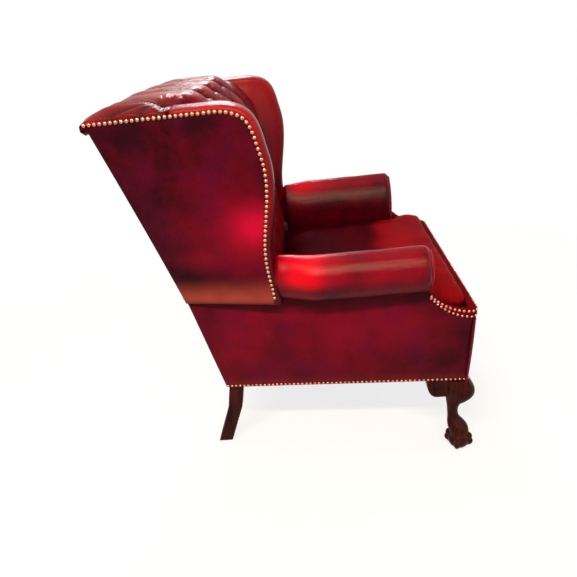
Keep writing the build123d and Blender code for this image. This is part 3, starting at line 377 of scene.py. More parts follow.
def tone_group():
    """Leather dye: soft clouds, plum and tan tints, painted shade in folds and hollows, and painted light."""
    group, start, end = new_group(
        "Rubbed dye",
        [
            ("Vector", "NodeSocketVector", (0, 0, 0)),
            ("Deep", "NodeSocketColor", (0.02, 0.0, 0.005, 1)),
            ("Bright", "NodeSocketColor", (0.3, 0.01, 0.03, 1)),
            ("Plum", "NodeSocketColor", (0.06, 0.001, 0.022, 1)),
            ("Tan", "NodeSocketColor", (0.25, 0.042, 0.03, 1)),
            ("Plum Share", "NodeSocketFloat", 0.3),
            ("Patch Scale", "NodeSocketFloat", 7.0),
            ("Dull", "NodeSocketFloat", 0.3),
            ("Painted Shade", "NodeSocketFloat", 0.0),
            ("Painted Light", "NodeSocketFloat", 0.5),
            ("Warm", "NodeSocketFloat", 0.0),
        ],
        [("Color", "NodeSocketColor"), ("Roughness", "NodeSocketFloat")],
    )
    clouds = noise_node(group, start.outputs["Vector"], start.outputs["Patch Scale"], 3.0, 0.55)
    patches = range_node(group, clouds, 0.3, 0.7, -0.11, 0.11)
    specks = noise_node(group, start.outputs["Vector"], 95.0, 4.0, 0.6)
    speckle = range_node(group, specks, 0.3, 0.7, -0.03, 0.03)
    # The painted light sets the tone between Deep and Bright; random clouds and specks vary it
    base = math_node(group, "ADD", start.outputs["Painted Light"], patches)
    base = math_node(group, "ADD", base, speckle, clamp=True)
    tone = mix_node(group, base, start.outputs["Deep"], start.outputs["Bright"])
    drift = noise_node(group, start.outputs["Vector"], 11.0, 2.0)
    cool = range_node(group, drift, 0.42, 0.66, 0.0, 1.0)
    cool = math_node(group, "MULTIPLY", cool, start.outputs["Plum Share"])
    tone = mix_node(group, cool, tone, start.outputs["Plum"])
    # Tan tint where the mesh asks for it; on the wings' foot and over the crest it is a painted warm sheen
    tone = mix_node(group, start.outputs["Warm"], tone, start.outputs["Tan"])
    # Painted shade: folds, hollows, undersides and shaded sides darken towards near black
    dark = math_node(group, "MULTIPLY", start.outputs["Painted Shade"], 0.85, clamp=True)
    shade = mix_node(group, dark, tone, (0.006, 0.0004, 0.001, 1))
    wire(group, shade, end.inputs["Color"])
    uneven = range_node(group, specks, 0.3, 0.7, -0.03, 0.04)
    dull = math_node(group, "ADD", start.outputs["Dull"], uneven)
    duller_in_shade = math_node(group, "MULTIPLY", start.outputs["Painted Shade"], 0.12)
    wire(group, math_node(group, "ADD", dull, duller_in_shade), end.inputs["Roughness"])
    return group


def grain_group():
    """Height of a fine leather grain with soft creases."""
    group, start, end = new_group(
        "Leather grain",
        [("Vector", "NodeSocketVector", (0, 0, 0)), ("Scale", "NodeSocketFloat", 620.0)],
        [("Height", "NodeSocketFloat")],
    )
    cells = group.nodes.new("ShaderNodeTexVoronoi")
    cells.feature = "DISTANCE_TO_EDGE"
    wire(group, start.outputs["Vector"], cells.inputs["Vector"])
    wire(group, start.outputs["Scale"], cells.inputs["Scale"])
    pebbles = range_node(group, cells.outputs["Distance"], 0.0, 0.18, 0.0, 1.0)
    waves = noise_node(group, start.outputs["Vector"], 38.0, 3.0, 0.6)
    height = math_node(group, "MULTIPLY_ADD", waves, 1.6)
    wire(group, pebbles, height.node.inputs[2])
    wire(group, height, end.inputs["Height"])
    return group


def wood_group():
    """Streaked grain along the height, with fine pores."""
    group, start, end = new_group(
        "Wood grain",
        [
            ("Vector", "NodeSocketVector", (0, 0, 0)),
            ("Dark", "NodeSocketColor", (0.01, 0.003, 0.002, 1)),
            ("Light", "NodeSocketColor", (0.05, 0.015, 0.008, 1)),
            ("Stretch", "NodeSocketFloat", 0.12),
        ],
        [("Color", "NodeSocketColor"), ("Height", "NodeSocketFloat"), ("Roughness", "NodeSocketFloat")],
    )
    squeeze = group.nodes.new("ShaderNodeCombineXYZ")
    squeeze.inputs[0].default_value = 1.0
    squeeze.inputs[1].default_value = 1.0
    wire(group, start.outputs["Stretch"], squeeze.inputs[2])
    scaled = group.nodes.new("ShaderNodeVectorMath")
    scaled.operation = "MULTIPLY"
    wire(group, start.outputs["Vector"], scaled.inputs[0])
    wire(group, squeeze.outputs[0], scaled.inputs[1])
    streaks = noise_node(group, scaled.outputs[0], 120.0, 5.0, 0.65)
    broad = noise_node(group, scaled.outputs[0], 26.0, 2.0, 0.5)
    mixed = math_node(group, "MULTIPLY_ADD", streaks, 0.6)
    wire(group, math_node(group, "MULTIPLY", broad, 0.5), mixed.node.inputs[2])
    share = range_node(group, mixed, 0.4, 0.7, 0.0, 1.0)
    wire(group, mix_node(group, share, start.outputs["Dark"], start.outputs["Light"]), end.inputs["Color"])
    wire(group, streaks, end.inputs["Height"])
    wire(group, range_node(group, streaks, 0.3, 0.7, 0.3, 0.42), end.inputs["Roughness"])
    return group


def weave_group():
    """Over-and-under threads of a plain cloth."""
    group, start, end = new_group(
        "Plain weave",
        [("Vector", "NodeSocketVector", (0, 0, 0)), ("Threads", "NodeSocketFloat", 900.0)],
        [("Height", "NodeSocketFloat"), ("Fleck", "NodeSocketFloat")],
    )
    parts = group.nodes.new("ShaderNodeSeparateXYZ")
    wire(group, start.outputs["Vector"], parts.inputs[0])
    threads = start.outputs["Threads"]
    across = math_node(group, "SINE", math_node(group, "MULTIPLY", parts.outputs[0], threads))
    level = math_node(group, "ADD", parts.outputs[1], parts.outputs[2])
    along = math_node(group, "SINE", math_node(group, "MULTIPLY", level, threads))
    wire(group, math_node(group, "MULTIPLY", across, along), end.inputs["Height"])
    wire(group, noise_node(group, start.outputs["Vector"], 220.0, 3.0), end.inputs["Fleck"])
    return group


def use_group(tree, group, **values):
    """Places a group in a tree with its own values."""
    node = tree.nodes.new("ShaderNodeGroup")
    node.node_tree = group
    for label, value in values.items():
        node.inputs[label.replace("_", " ")].default_value = value
    return node


def new_material(name):
    """A material with its tree, its shader and object coordinates."""
    material = bpy.data.materials.new(name)
    material.use_nodes = True
    tree = material.node_tree
    shader = tree.nodes["Principled BSDF"]
    place = tree.nodes.new("ShaderNodeTexCoord")
    return material, tree, shader, place.outputs["Object"]


def add_bump(tree, shader, height, distance, strength):
    bump = tree.nodes.new("ShaderNodeBump")
    bump.inputs["Distance"].default_value = distance
    bump.inputs["Strength"].default_value = strength
    wire(tree, height, bump.inputs["Height"])
    wire(tree, bump.outputs["Normal"], shader.inputs["Normal"])


def leather(name, bright, patch_scale, plum_share, dull, specular):
    """Glossy leather with a dye, painted light and shade from the mesh's marks, the size and tint of its
    clouds, and its gloss.
    """
    material, tree, shader, place = new_material(name)
    deep = colours_now().leather_deep
    tone = use_group(tree, groups["tone"], Deep=(*deep, 1), Bright=(*bright, 1), Patch_Scale=patch_scale)
    tone.inputs["Plum Share"].default_value = plum_share
    tone.inputs["Dull"].default_value = dull
    grain = use_group(tree, groups["grain"])
    wire(tree, place, tone.inputs["Vector"])
    wire(tree, place, grain.inputs["Vector"])
    # The mesh's painted shade, painted light and tan tint drive the dye
    for label, socket in (("painted_shade", "Painted Shade"), ("painted_light", "Painted Light"), ("warm", "Warm")):
        painted = tree.nodes.new("ShaderNodeAttribute")
        painted.attribute_name = label
        wire(tree, painted.outputs["Fac"], tone.inputs[socket])
    wire(tree, tone.outputs["Color"], shader.inputs["Base Color"])
    wire(tree, tone.outputs["Roughness"], shader.inputs["Roughness"])
    shader.inputs["Specular IOR Level"].default_value = specular
    add_bump(tree, shader, grain.outputs["Height"], 0.0004, 0.25)
    return material


def wood(name, dark, light, coat):
    """Wood with a grain along the height."""
    material, tree, shader, place = new_material(name)
    grain = use_group(tree, groups["wood"], Dark=(*dark, 1), Light=(*light, 1))
    wire(tree, place, grain.inputs["Vector"])
    wire(tree, grain.outputs["Color"], shader.inputs["Base Color"])
    wire(tree, grain.outputs["Roughness"], shader.inputs["Roughness"])
    shader.inputs["Specular IOR Level"].default_value = 0.05
    shader.inputs["Coat Weight"].default_value = coat
    shader.inputs["Coat Roughness"].default_value = 0.15
    add_bump(tree, shader, grain.outputs["Height"], 0.0003, 0.25)
    return material


def cloth(name, colour, threads):
    """Plain woven cloth."""
    material, tree, shader, place = new_material(name)
    weave = use_group(tree, groups["weave"], Threads=threads)
    wire(tree, place, weave.inputs["Vector"])
    share = range_node(tree, weave.outputs["Fleck"], 0.3, 0.7, 0.0, 1.0)
    darker = tuple(0.6 * part for part in colour)
    wire(tree, mix_node(tree, share, (*darker, 1), (*colour, 1)), shader.inputs["Base Color"])
    shader.inputs["Roughness"].default_value = 0.9
    add_bump(tree, shader, weave.outputs["Height"], 0.0004, 0.5)
    return material


def metal(name, colour, rough_low, rough_high, tarnish):
    """Metal with a cloudy tarnish."""
    material, tree, shader, place = new_material(name)
    clouds = noise_node(tree, place, 160.0, 3.0)
    share = range_node(tree, clouds, 0.35, 0.7, 0.0, 1.0)
    wire(tree, mix_node(tree, share, (*colour, 1), (*tarnish, 1)), shader.inputs["Base Color"])
    wire(tree, range_node(tree, clouds, 0.3, 0.7, rough_low, rough_high), shader.inputs["Roughness"])
    shader.inputs["Metallic"].default_value = 1.0
    return material


groups = {}
finishes = {}


def make_finishes():
    """All materials of the chair, by name."""
    colours = colours_now()
    groups["tone"] = tone_group()
    groups["grain"] = grain_group()
    groups["wood"] = wood_group()
    groups["weave"] = weave_group()
    bright, arm, warm = colours.leather_bright, colours.leather_arm, colours.leather_warm
    finishes["panel"] = leather("outside_leather", bright, 8.0, 0.4, 0.38, 0.05)
    finishes["arm"] = leather("arm_leather", arm, 9.0, 0.2, 0.15, 0.09)
    finishes["wing"] = leather("wing_leather", warm, 9.0, 0.1, 0.24, 0.1)
    finishes["back"] = leather("back_leather", warm, 12.0, 0.1, 0.24, 0.06)
    finishes["seat"] = leather("seat_leather_face", warm, 8.0, 0.1, 0.34, 0.002)
    finishes["mahogany"] = wood("polished_mahogany", (0.006, 0.0007, 0.0007), (0.045, 0.005, 0.004), 0.03)
    finishes["beech"] = wood("planed_beech", (0.33, 0.2, 0.1), (0.52, 0.36, 0.21), 0.0)
    finishes["jute"] = cloth("jute_webbing", (0.4, 0.3, 0.18), 1500.0)
    finishes["cambric"] = cloth("black_cambric", (0.018, 0.018, 0.018), 4000.0)
    finishes["steel"] = metal("bright_zinc", (0.6, 0.6, 0.62), 0.3, 0.5, (0.4, 0.4, 0.42))
    nail = tuple(colours.nail)
    finishes["nail"] = metal("aged_brass", nail, 0.24, 0.4, tuple(0.7 * part for part in nail))


# Side panels, border and lip


def side_panel(name, half, rows_at, front_of, rear_of, tones_of, flush_front=False):
    """A covered board in a side: rows_at lists its heights, front_of and rear_of its ends."""
    sizes = sizes_now()
    height = rows_at[-1] - rows_at[0]
    shares = None
    rows = []
    painted_lights = []
    warms = []
    painted_shades = []
    for z in rows_at:
        front = front_of(z)
        rear = rear_of(z)
        if shares is None:
            shares = edged_steps(46, rear - front, sizes.edge_round)
        t = (z - rows_at[0]) / height
        row = []
        for s in shares:
            y = lerp(front, rear, s)
            x = half(y, z)
            x += sizes.panel_crown * math.sin(math.pi * s) * math.sin(math.pi * t)
            x += 0.0006 * ripple((0, y, z), 9.0, 3.0)
            fall = sizes.edge_round * 0.6
            x -= rolled_edge(s, t, rear - front, height, sizes.edge_round, fall, flush_front)
            row.append((Vector((x, y, z)), Vector((1, 0, 0))))
            # Painted light, tan tint and painted shade at this point
            painted_light, warm, painted_shade = tones_of(y, z)
            painted_lights.append(painted_light)
            warms.append(warm)
            painted_shades.append(painted_shade)
        rows.append(row)
    points, faces = shell(rows, sizes.panel_thick - 0.001)
    tones = painted_shades * 2, painted_lights * 2, warms * 2
    return piece(name, points, faces, finishes["panel"], "body_leather", *tones)


def lip_low_z(y):
    """Lower edge of the seat lip at a depth."""
    return lip_edge(y, sizes_now().lip_start_low, sizes_now().lip_bend_low, lip_foot_z)


def lip_high_z(y):
    """Upper edge of the seat lip at a depth."""
    return lip_edge(y, lip_top_z, sizes_now().lip_bend_high, sizes_now().lip_front_top)


def lip_edge(y, start_z, bend_z, end_z):
    """Height of an edge that falls from the arm, bends and runs level at the front."""
    sizes = sizes_now()
    start_y, bend_y, end_y = sizes.lip_start_y, sizes.lip_bend_y, border_top_y
    if y >= start_y:
        return start_z
    # A parabola in a sheared share, steep at the arm and level at the front
    share = (start_y - y) / (start_y - end_y)
    bend_share = (start_y - bend_y) / (start_y - end_y)
    drop = (start_z - bend_z) / (start_z - end_z)
    power = math.log(1 - drop) / math.log(1 - bend_share)
    return end_z + (start_z - end_z) * max(1 - share, 0.0) ** power


def sizes_now():
    return bpy.context.scene.chair_sizes


def colours_now():
    return bpy.context.scene.chair_colours


def border_y(z):
    """Depth of the leaning front border at a height."""
    return lerp(border_foot_y, border_top_y, (z - foot_z) / (lip_foot_z - foot_z))


def hill(y, z, middle_y, middle_z, reach_y, reach_z):
    """A soft patch that fades away from its middle."""
    return math.exp(-(((y - middle_y) / reach_y) ** 2) - (((z - middle_z) / reach_z) ** 2))


def arm_panel_tones(y, z):
    """Painted light, a tan tint near the foot and painted shade of the body's sides."""
    # Two painted pools of light, less towards the front; painted shade under the arm roll
    painted_light = 0.19 + 0.2 * hill(y, z, -0.12, 0.41, 0.16, 0.1) + 0.12 * hill(y, z, 0.14, 0.4, 0.09, 0.12)
    painted_light -= 0.14 * ease(-0.24, -0.4, y)
    warm = 0.14 * ease(0.27, 0.235, z)
    painted_shade = 0.55 * ease(0.475, 0.52, z)
    return painted_light, warm, painted_shade


def wing_panel_tones(y, z):
    """Painted light, a painted tan sheen along the foot and painted shade of the wings' outsides."""
    # Painted pools of light, a painted tan sheen along the foot, painted shade at the foot's edge and in one
    # low patch near the rear
    painted_light = 0.01 + 0.85 * hill(y, z, 0.09, 0.742, 0.05, 0.05) + 0.36 * hill(y, z, 0.15, 0.72, 0.11, 0.12)
    painted_light += 0.2 * hill(y, z, 0.24, 0.655, 0.08, 0.04) + 0.08 * hill(y, z, 0.2, 0.85, 0.1, 0.1)
    warm = 0.85 * ease(0.61, 0.535, z) + 0.12 * ripple((y, z, 0.0), 30.0, 4.0) * ease(0.61, 0.535, z)
    painted_shade = 0.6 * ease(0.538, 0.526, z) + 0.3 * hill(y, z, 0.3, 0.6, 0.07, 0.03)
    return painted_light, warm, painted_shade


def wing_edge(grow, count):
    """Points and outward normals along the nail line of the wing, grown outwards."""
    sizes = sizes_now()
    knots = [
        (sizes.nail_foot_y, arm_under_z),
        (sizes.nail_waist_y, sizes.nail_waist_z),
        (sizes.nail_swell_y, sizes.nail_swell_z),
        (sizes.nail_corner_y, sizes.nail_corner_z),
        (sizes.nail_top_y, wing_top_z),
    ]
    curve = smooth_line(knots, count, first=(0, 1), last=(1, 0))
    normals = turned_out(curve)
    normals[0] = Vector((-1, 0))
    normals[-1] = Vector((0, 1))
    return [point + normal * grow for point, normal in zip(curve, normals)], normals


def build_side_panels():
    """Covered boards outside the arms and the wings."""
    sizes = sizes_now()
    edge, _ = wing_edge(0, 400)

    def wing_front(z):
        return min(edge, key=lambda point: abs(point.y - z)).x

    def arm_front(z):
        if z < lip_foot_z:
            return border_y(z) + sizes.corner_round
        low, high = border_top_y + sizes.corner_round, sizes.lip_start_y
        for _ in range(30):
            middle = (low + high) / 2
            if lip_low_z(middle) < z:
                low = middle
            else:
                high = middle
        return (low + high) / 2

    def heights(low, high, count):
        return [lerp(low, high, t) for t in edged_steps(count, high - low, sizes.edge_round)]

    arm_rows = heights(foot_z, arm_under_z, 34)
    wing_rows = heights(arm_under_z, wing_top_z, 60)
    arm = side_panel("side_panel_left", body_half, arm_rows, arm_front, back_y, arm_panel_tones, True)
    wing = side_panel("wing_panel_left", wing_half, wing_rows, wing_front, wing_rear_y, wing_panel_tones)
    paired(arm, "outside_arm")
    paired(wing, "outside_wing")


def wing_rear_y(z):
    """Depth of the wing panel's rear edge, which ends behind the crest."""
    if z <= back_top_z:
        return back_y(z)
    return lerp(back_top_y, crest_rear_y - 0.0004, ease(back_top_z, wing_top_z - 0.004, z))


def build_outside_back():
    """The covered board at the rear, softly bent at the knee."""
    sizes = sizes_now()
    heights = [lerp(foot_z, back_top_z, t) for t in edged_steps(60, back_top_z - foot_z, sizes.edge_round)]
    shares = edged_steps(40, 2 * rear_foot_half, sizes.edge_round)
    rows = []
    painted_lights = []
    for z in heights:
        half = body_half(back_y(z), z) if z < arm_under_z else wing_half(back_y(z), z)
        half -= sizes.panel_thick + 0.0016
        t = (z - foot_z) / (back_top_z - foot_z)
        # The leather bridges the knee of the back in a soft bend
        soft = 0.006 * math.exp(-(((z - arm_under_z) / 0.03) ** 2))
        row = []
        for s in shares:
            x = lerp(-half, half, s)
            y = back_y(z) + soft + sizes.panel_crown * math.sin(math.pi * s) * math.sin(math.pi * t)
            y += 0.0006 * ripple((x, 0, z), 8.0, 5.0)
            y -= rolled_edge(s, t, 2 * half, back_top_z - foot_z, sizes.edge_round, sizes.edge_round * 0.6)
            row.append((Vector((x, y, z)), Vector((0, 1, 0))))
            # A painted pool of light in the middle of the rear board
            painted_lights.append(0.12 + 0.25 * math.exp(-((x / 0.2) ** 2) - (((z - 0.7) / 0.25) ** 2)))
        rows.append(row)
    points, faces = shell(rows, 0.005)
    board = piece("rear_panel", points, faces, finishes["panel"], "body_leather", painted_lights=painted_lights * 2)
    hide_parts("outside_back")


def rounded_front(z):
    """Plan of the body's front at a height: one side, a round corner, the front, and back."""
    radius = sizes_now().corner_round
    half = body_half(border_y(z), z)
    y = border_y(z)
    line = [Vector((half, y + radius))]
    for step in range(1, quarter_steps + 1):
        angle = math.pi / 2 * step / quarter_steps
        line.append(Vector((half - radius + radius * math.cos(angle), y + radius - radius * math.sin(angle))))
    corner = list(line)
    for step in range(1, front_steps):
        line.append(Vector((lerp(half - radius, -(half - radius), step / front_steps), y)))
    return line + [Vector((-point.x, point.y)) for point in reversed(corner)]


def build_front():
    """Front border with round corners."""
    sizes = sizes_now()
    height = lip_foot_z - foot_z
    rows = []
    painted_lights = []
    for t in edged_steps(26, height, sizes.edge_round):
        z = lerp(foot_z, lip_foot_z, t)
        plan = rounded_front(z)
        row = []
        for index, point in enumerate(plan):
            ahead = (plan[min(index + 1, len(plan) - 1)] - plan[max(index - 1, 0)]).normalized()
            out = Vector((ahead.y, -ahead.x, 0))
            if out.y > 0.5:
                out = -out
            s = index / (len(plan) - 1)
            bulge = sizes.panel_crown * math.sin(math.pi * t) * math.sin(math.pi * s) ** 0.5
            gap = min(t, 1 - t) * height
            if gap < sizes.edge_round:
                fall = 1 - math.sqrt(1 - (1 - gap / sizes.edge_round) ** 2)
                bulge -= sizes.edge_round * 0.6 * fall
            row.append((Vector((point.x, point.y, z)) + out * bulge, out))
            # Painted light, brighter across the middle of the front
            painted_lights.append(0.22 + 0.2 * math.sin(math.pi * s))
        rows.append(row)
    points, faces = shell(rows, 0.006)
    border = piece("front_border_cover", points, faces, finishes["panel"], "body_leather", painted_lights=painted_lights * 2)
    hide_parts("front_border")


def lip_plan():
    """Plan points of the lip with outward directions, from the left arm round the front to the right."""
    sizes = sizes_now()
    half = body_half(border_top_y, lip_foot_z)
    radius = sizes.lip_round
    start_half = body_half(sizes.lip_start_y, sizes.lip_start_low)
    side = []
    for step in range(lip_steps):
        y = lerp(sizes.lip_start_y, border_top_y + radius, step / lip_steps)
        side.append((Vector((lerp(start_half, half, step / lip_steps), y)), Vector((1, 0))))
    centre = Vector((half - radius, border_top_y + radius))
    for step in range(quarter_steps + 1):
        angle = math.pi / 2 * step / quarter_steps
        out = Vector((math.cos(angle), -math.sin(angle)))
        side.append((centre + out * radius, out))
    front = []
    for step in range(1, 60):
        x = lerp(half - radius, -(half - radius), step / 60)
        front.append((Vector((x, border_top_y)), Vector((0, -1))))
    mirrored = [(Vector((-p.x, p.y)), Vector((-n.x, n.y))) for p, n in reversed(side)]
    return side + front + mirrored


def build_lip():
    """The nailed band under the cushion's front."""
    sizes = sizes_now()
    rings = []
    depth = sizes.lip_depth
    # Steps outwards from the plan, and shares of the height
    profile = (
        (0.0, 0.0),
        (0.0015, 0.12),
        (0.0028, 0.3),
        (0.0034, 0.5),
        (0.003, 0.7),
        (0.0012, 0.87),
        (-0.0025, 0.97),
        (-0.007, 1.0),
        (-depth * 0.7, 0.96),
        (-depth, 0.85),
        (-depth, 0.1),
        (-depth * 0.5, 0.0),
    )
    for point, out in lip_plan():
        low = lip_low_z(point.y)
        high = lip_high_z(point.y)
        for grow, up in profile:
            place = point + out * grow
            rings.append(Vector((place.x, place.y, lerp(low + 0.0004, high, up))))
    faces = tube_faces(len(rings) // len(profile), len(profile))
    lip = piece("seat_lip_band", rings, faces, finishes["seat"], "body_leather", painted_lights=[0.3] * len(rings))
    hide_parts("seat_lip")


# Arms


def arm_ring(top_x, outer_x, inset):
    """Keyhole section of the arm with an inset, as (x, z) points round the loop."""
    sizes = sizes_now()
    full_top, full_outer = sizes.roll_x, sizes.roll_outer
    middle = sizes.roll_z
    under = sizes.roll_under_z

    def shifted(x, z):
        if x <= full_top:
            return Vector((lerp(seat_half, top_x, (x - seat_half) / (full_top - seat_half)), z))
        return Vector((lerp(top_x, outer_x, (x - full_top) / (full_outer - full_top)), z))

    diagonal = math.sqrt(0.5)
    rise = (full_outer - full_top) * diagonal
    up = (arm_top_z - middle) * diagonal
    down = (middle - under) * diagonal
    inner = seat_half + sizes.arm_inside_thick
    knots = [
        shifted(seat_half, arm_foot_z),
        shifted(seat_half, lerp(arm_foot_z, under, 0.5)),
        shifted(seat_half, under),
        shifted(seat_half + 0.001, 0.562),
        shifted(seat_half + 0.0155, 0.604),
        shifted(seat_half + 0.038, 0.630),
        shifted(full_top, arm_top_z),
        shifted(full_top + rise, middle + up),
        shifted(full_outer, middle),
        shifted(full_top + rise, middle - down),
        shifted(full_top, under),
        shifted(inner + 0.012, under + 0.001),
    ]
    loop = smooth_line(knots, arm_steps, first=(0, 1), last=(-1, 0))
    tail = [Vector((inner, z)) for z in (under - 0.012, lerp(arm_foot_z, under, 0.5), arm_foot_z)]
    return [point - normal * inset for point, normal in zip(loop, turned_out(loop))] + tail


def arm_plan(y):
    """Roll's top and outer half widths at a depth: it narrows where it meets the wing."""
    sizes = sizes_now()
    share = ease(sizes.arm_blend_y, wing_front_y, y)
    return lerp(sizes.roll_x, sizes.neck_x, share), lerp(sizes.roll_outer, sizes.neck_outer, share)


def build_arms():
    """Rolled arms, closed at the front and tucked in behind the wings."""
    sizes = sizes_now()
    rings = []
    painted_shades = []
    painted_lights = []
    radius = sizes.arm_round
    # Depths of the rings, and how far each lies inside the full section
    stations = []
    for degrees in range(0, 91, 15):
        turn = math.radians(degrees)
        stations.append((arm_front_y + radius * (1 - math.cos(turn)), radius * (1 - math.sin(turn))))
    seam_gap = 0.0003
    rear = wing_front_y - seam_gap
    rear_round = sizes.arm_rear_round
    length = rear - rear_round - stations[-1][0]
    body_steps = 44
    stations += [(stations[-1][0] + length * step / body_steps, 0.0) for step in range(1, body_steps + 1)]
    for degrees in range(75, 14, -15):
        turn = math.radians(degrees)
        stations.append((rear - rear_round * (1 - math.cos(turn)), rear_round * 0.7 * (1 - math.sin(turn))))
    # A tapered end that is tucked in behind the wing
    stations += [(rear + 0.006, 0.009), (rear + 0.016, 0.015), (rear + 0.028, 0.023)]
    for y, inset in stations:
        top_x, outer_x = arm_plan(y)
        for index, point in enumerate(arm_ring(top_x, outer_x, inset)):
            wave = 0.0009 * ripple((point.x, y, point.y), 14.0, 1.0) if index < arm_steps else 0.0
            rings.append(Vector((point.x, y, point.y + wave)))
            # Painted light on the roll's upper side, brightest a little in front of the wing and less at the
            # front; painted shade by the wing, low down and on the inside
            inside = ease(0.31, 0.278, point.x)
            upper = ease(0.565, 0.6, point.y) * (1 - 0.75 * inside)
            middle = math.exp(-(((y - 0.005) / 0.075) ** 2))
            painted_shade = 0.55 * ease(0.03, 0.062, y) + 0.6 * ease(0.53, 0.46, point.y) + 0.5 * inside
            painted_shades.append(min(painted_shade, 0.9))
            painted_lights.append(0.14 + upper * (0.12 + 0.7 * middle) - 0.08 * ease(-0.2, -0.31, y))
    tail_points, tail_faces = arm_tail()
    rings, faces = gathered([(rings, tube_faces(len(stations), arm_steps + 3)), (tail_points, tail_faces)])
    # The tail under the wing is in painted shade
    painted_shades += [0.8] * len(tail_points)
    painted_lights += [0.1] * len(tail_points)
    arm = piece("arm_left", rings, faces, finishes["arm"], "body_leather", painted_shades, painted_lights)
    paired(arm, "arm_pad")
    build_facings()


def arm_tail():
    """The inside arm's cover below the wing, as far back as the inside back."""
    low_y, high_y = wing_front_y - 0.001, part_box("left_arm_pad")[1].y
    low_z, high_z = arm_foot_z, arm_under_z - 0.0008
    low_x, high_x = seat_half + 0.0004, seat_half + sizes_now().arm_inside_thick
    round_by = 0.006
    plan = [(low_x, low_z), (low_x, high_z - round_by), (low_x + round_by, high_z)]
    plan += [(high_x, high_z), (high_x, low_z)]
    steps = 8
    points = []
    for step in range(steps + 1):
        y = lerp(low_y, high_y, step / steps)
        points += [Vector((x, y, z)) for x, z in plan]
    return points, tube_faces(steps + 1, len(plan))


def build_facings():
    """Covered boards on the fronts of the arms, with a cord round their edge."""
    sizes = sizes_now()
    front = facing_front_y
    edge = sizes.arm_round
    # Depths of the rings, and how far each lies inside the arm's section
    stations = (
        (arm_front_y + 0.001, edge * 0.8),
        (front + 0.0025, edge * 0.8),
        (front + 0.001, edge * 0.87),
        (front, edge * 1.0),
        (front - 0.0008, edge * 1.5),
    )
    rings = []
    for y, inset in stations:
        rings += [Vector((point.x, y, point.y)) for point in arm_ring(sizes.roll_x, sizes.roll_outer, inset)]
    # A strip beside the facing's foot, so that the arm's post doesn't show
    near_x, far_x = seat_half + sizes.arm_inside_thick - 0.002, seat_half + 0.049
    near_y, far_y = front + 0.0012, arm_front_y + 0.004
    plan = ((near_x, near_y), (far_x, near_y), (far_x, far_y), (near_x, far_y))
    strip = []
    for z in (arm_foot_z, arm_under_z + 0.006):
        strip += [Vector((x, y, z)) for x, y in plan]
    board_faces = tube_faces(len(stations), arm_steps + 3)
    points, faces = gathered([(rings, board_faces), (strip, tube_faces(2, 4))])
    painted_lights = [0.35] * len(points)
    board = piece("arm_facing_left", points, faces, finishes["arm"], "body_leather", painted_lights=painted_lights)
    paired(board, "arm_facing")


# Wings


def wing_inner_x(y):
    """Inside face of the wing, which flares outwards to its front."""
    sizes = sizes_now()
    return seat_half + 0.0008 + sizes.wing_flare * ease(sizes.wing_flare_y, wing_front_y - 0.02, y)


def build_wings():
    """Stuffed wings with a roll round their edge, past the nail line."""
    sizes = sizes_now()
    top_end = sizes.crest_front_y + 0.004
    curve, normals = wing_edge(0, 90)
    straight = 14
    for step in range(1, straight + 1):
        curve.append(Vector((lerp(sizes.nail_top_y, top_end, step / straight), wing_top_z)))
        normals.append(Vector((0, 1)))
    reach = reaches(curve)
    inner_steps = 16
    roll_steps = 20
    rings = []
    painted_shades = []
    painted_lights = []
    for index, (edge, out) in enumerate(zip(curve, normals)):
        t = reach[index] / reach[-1]
        root = Vector((0.25, lerp(arm_under_z, 0.93, t**0.8)))
        # Place in the side view, half width, and whether it is hidden
        ring = []
        for step in range(inner_steps):
            share = step / inner_steps
            place = root.lerp(edge, share)
            puff = 0.004 * math.sin(math.pi * share)
            lean = sizes.wing_lean * ease(0.5, 1.0, share) ** 1.5
            ring.append((place, wing_inner_x(place.x) + lean - puff * 0.6 * ease(0.0, 0.3, share), 0.0))
        x_in = wing_inner_x(edge.x) + sizes.wing_lean
        x_out = wing_half(edge.x, edge.y) + 0.0005
        middle = (x_in + x_out) / 2
        reach_x = (x_out - x_in) / 2
        for step in range(roll_steps + 1):
            angle = math.pi * step / roll_steps
            cosine = math.cos(angle)
            across = math.copysign(abs(cosine) ** 0.8, cosine)
            grow = sizes.wing_roll * math.sin(angle) ** 0.72
            swell = 0
            if step < roll_steps:
                swell = 0.0032 * math.sin(math.pi * max(step / roll_steps - 0.5, 0) * 2) ** 0.8
            ring.append((edge + out * grow, middle - across * reach_x + swell, 0.0))
        hidden = (
            (edge, x_out - 0.006),
            (edge + out * 0.006, x_out - 0.012),
            (edge + out * 0.010, middle),
            (edge + out * 0.004, x_in + 0.012),
            (root.lerp(edge, 0.6), x_in + 0.012),
            (root, wing_inner_x(root.x) + 0.012),
        )
        ring += [(place, x, 1.0) for place, x in hidden]
        for place, x, hide in ring:
            wave = 0.0008 * ripple((x, place.x, place.y), 12.0, 2.0)
            rings.append(Vector((x + wave * (1 - hide), place.x, place.y)))
            # Painted shade low down and towards the rear; painted light near the top, less low down
            painted_shades.append(0.55 * ease(0.66, 0.56, place.y) + 0.25 * ease(0.12, 0.26, place.x) * (1 - hide))
            painted_lights.append(0.45 + 0.3 * ease(0.9, 1.02, place.y) - 0.25 * ease(0.85, 0.6, place.y))
    faces = tube_faces(len(curve), len(ring))
    wing = piece("wing_left", rings, faces, finishes["wing"], "body_leather", painted_shades, painted_lights)
    paired(wing, "wing_pad")


# Inside back


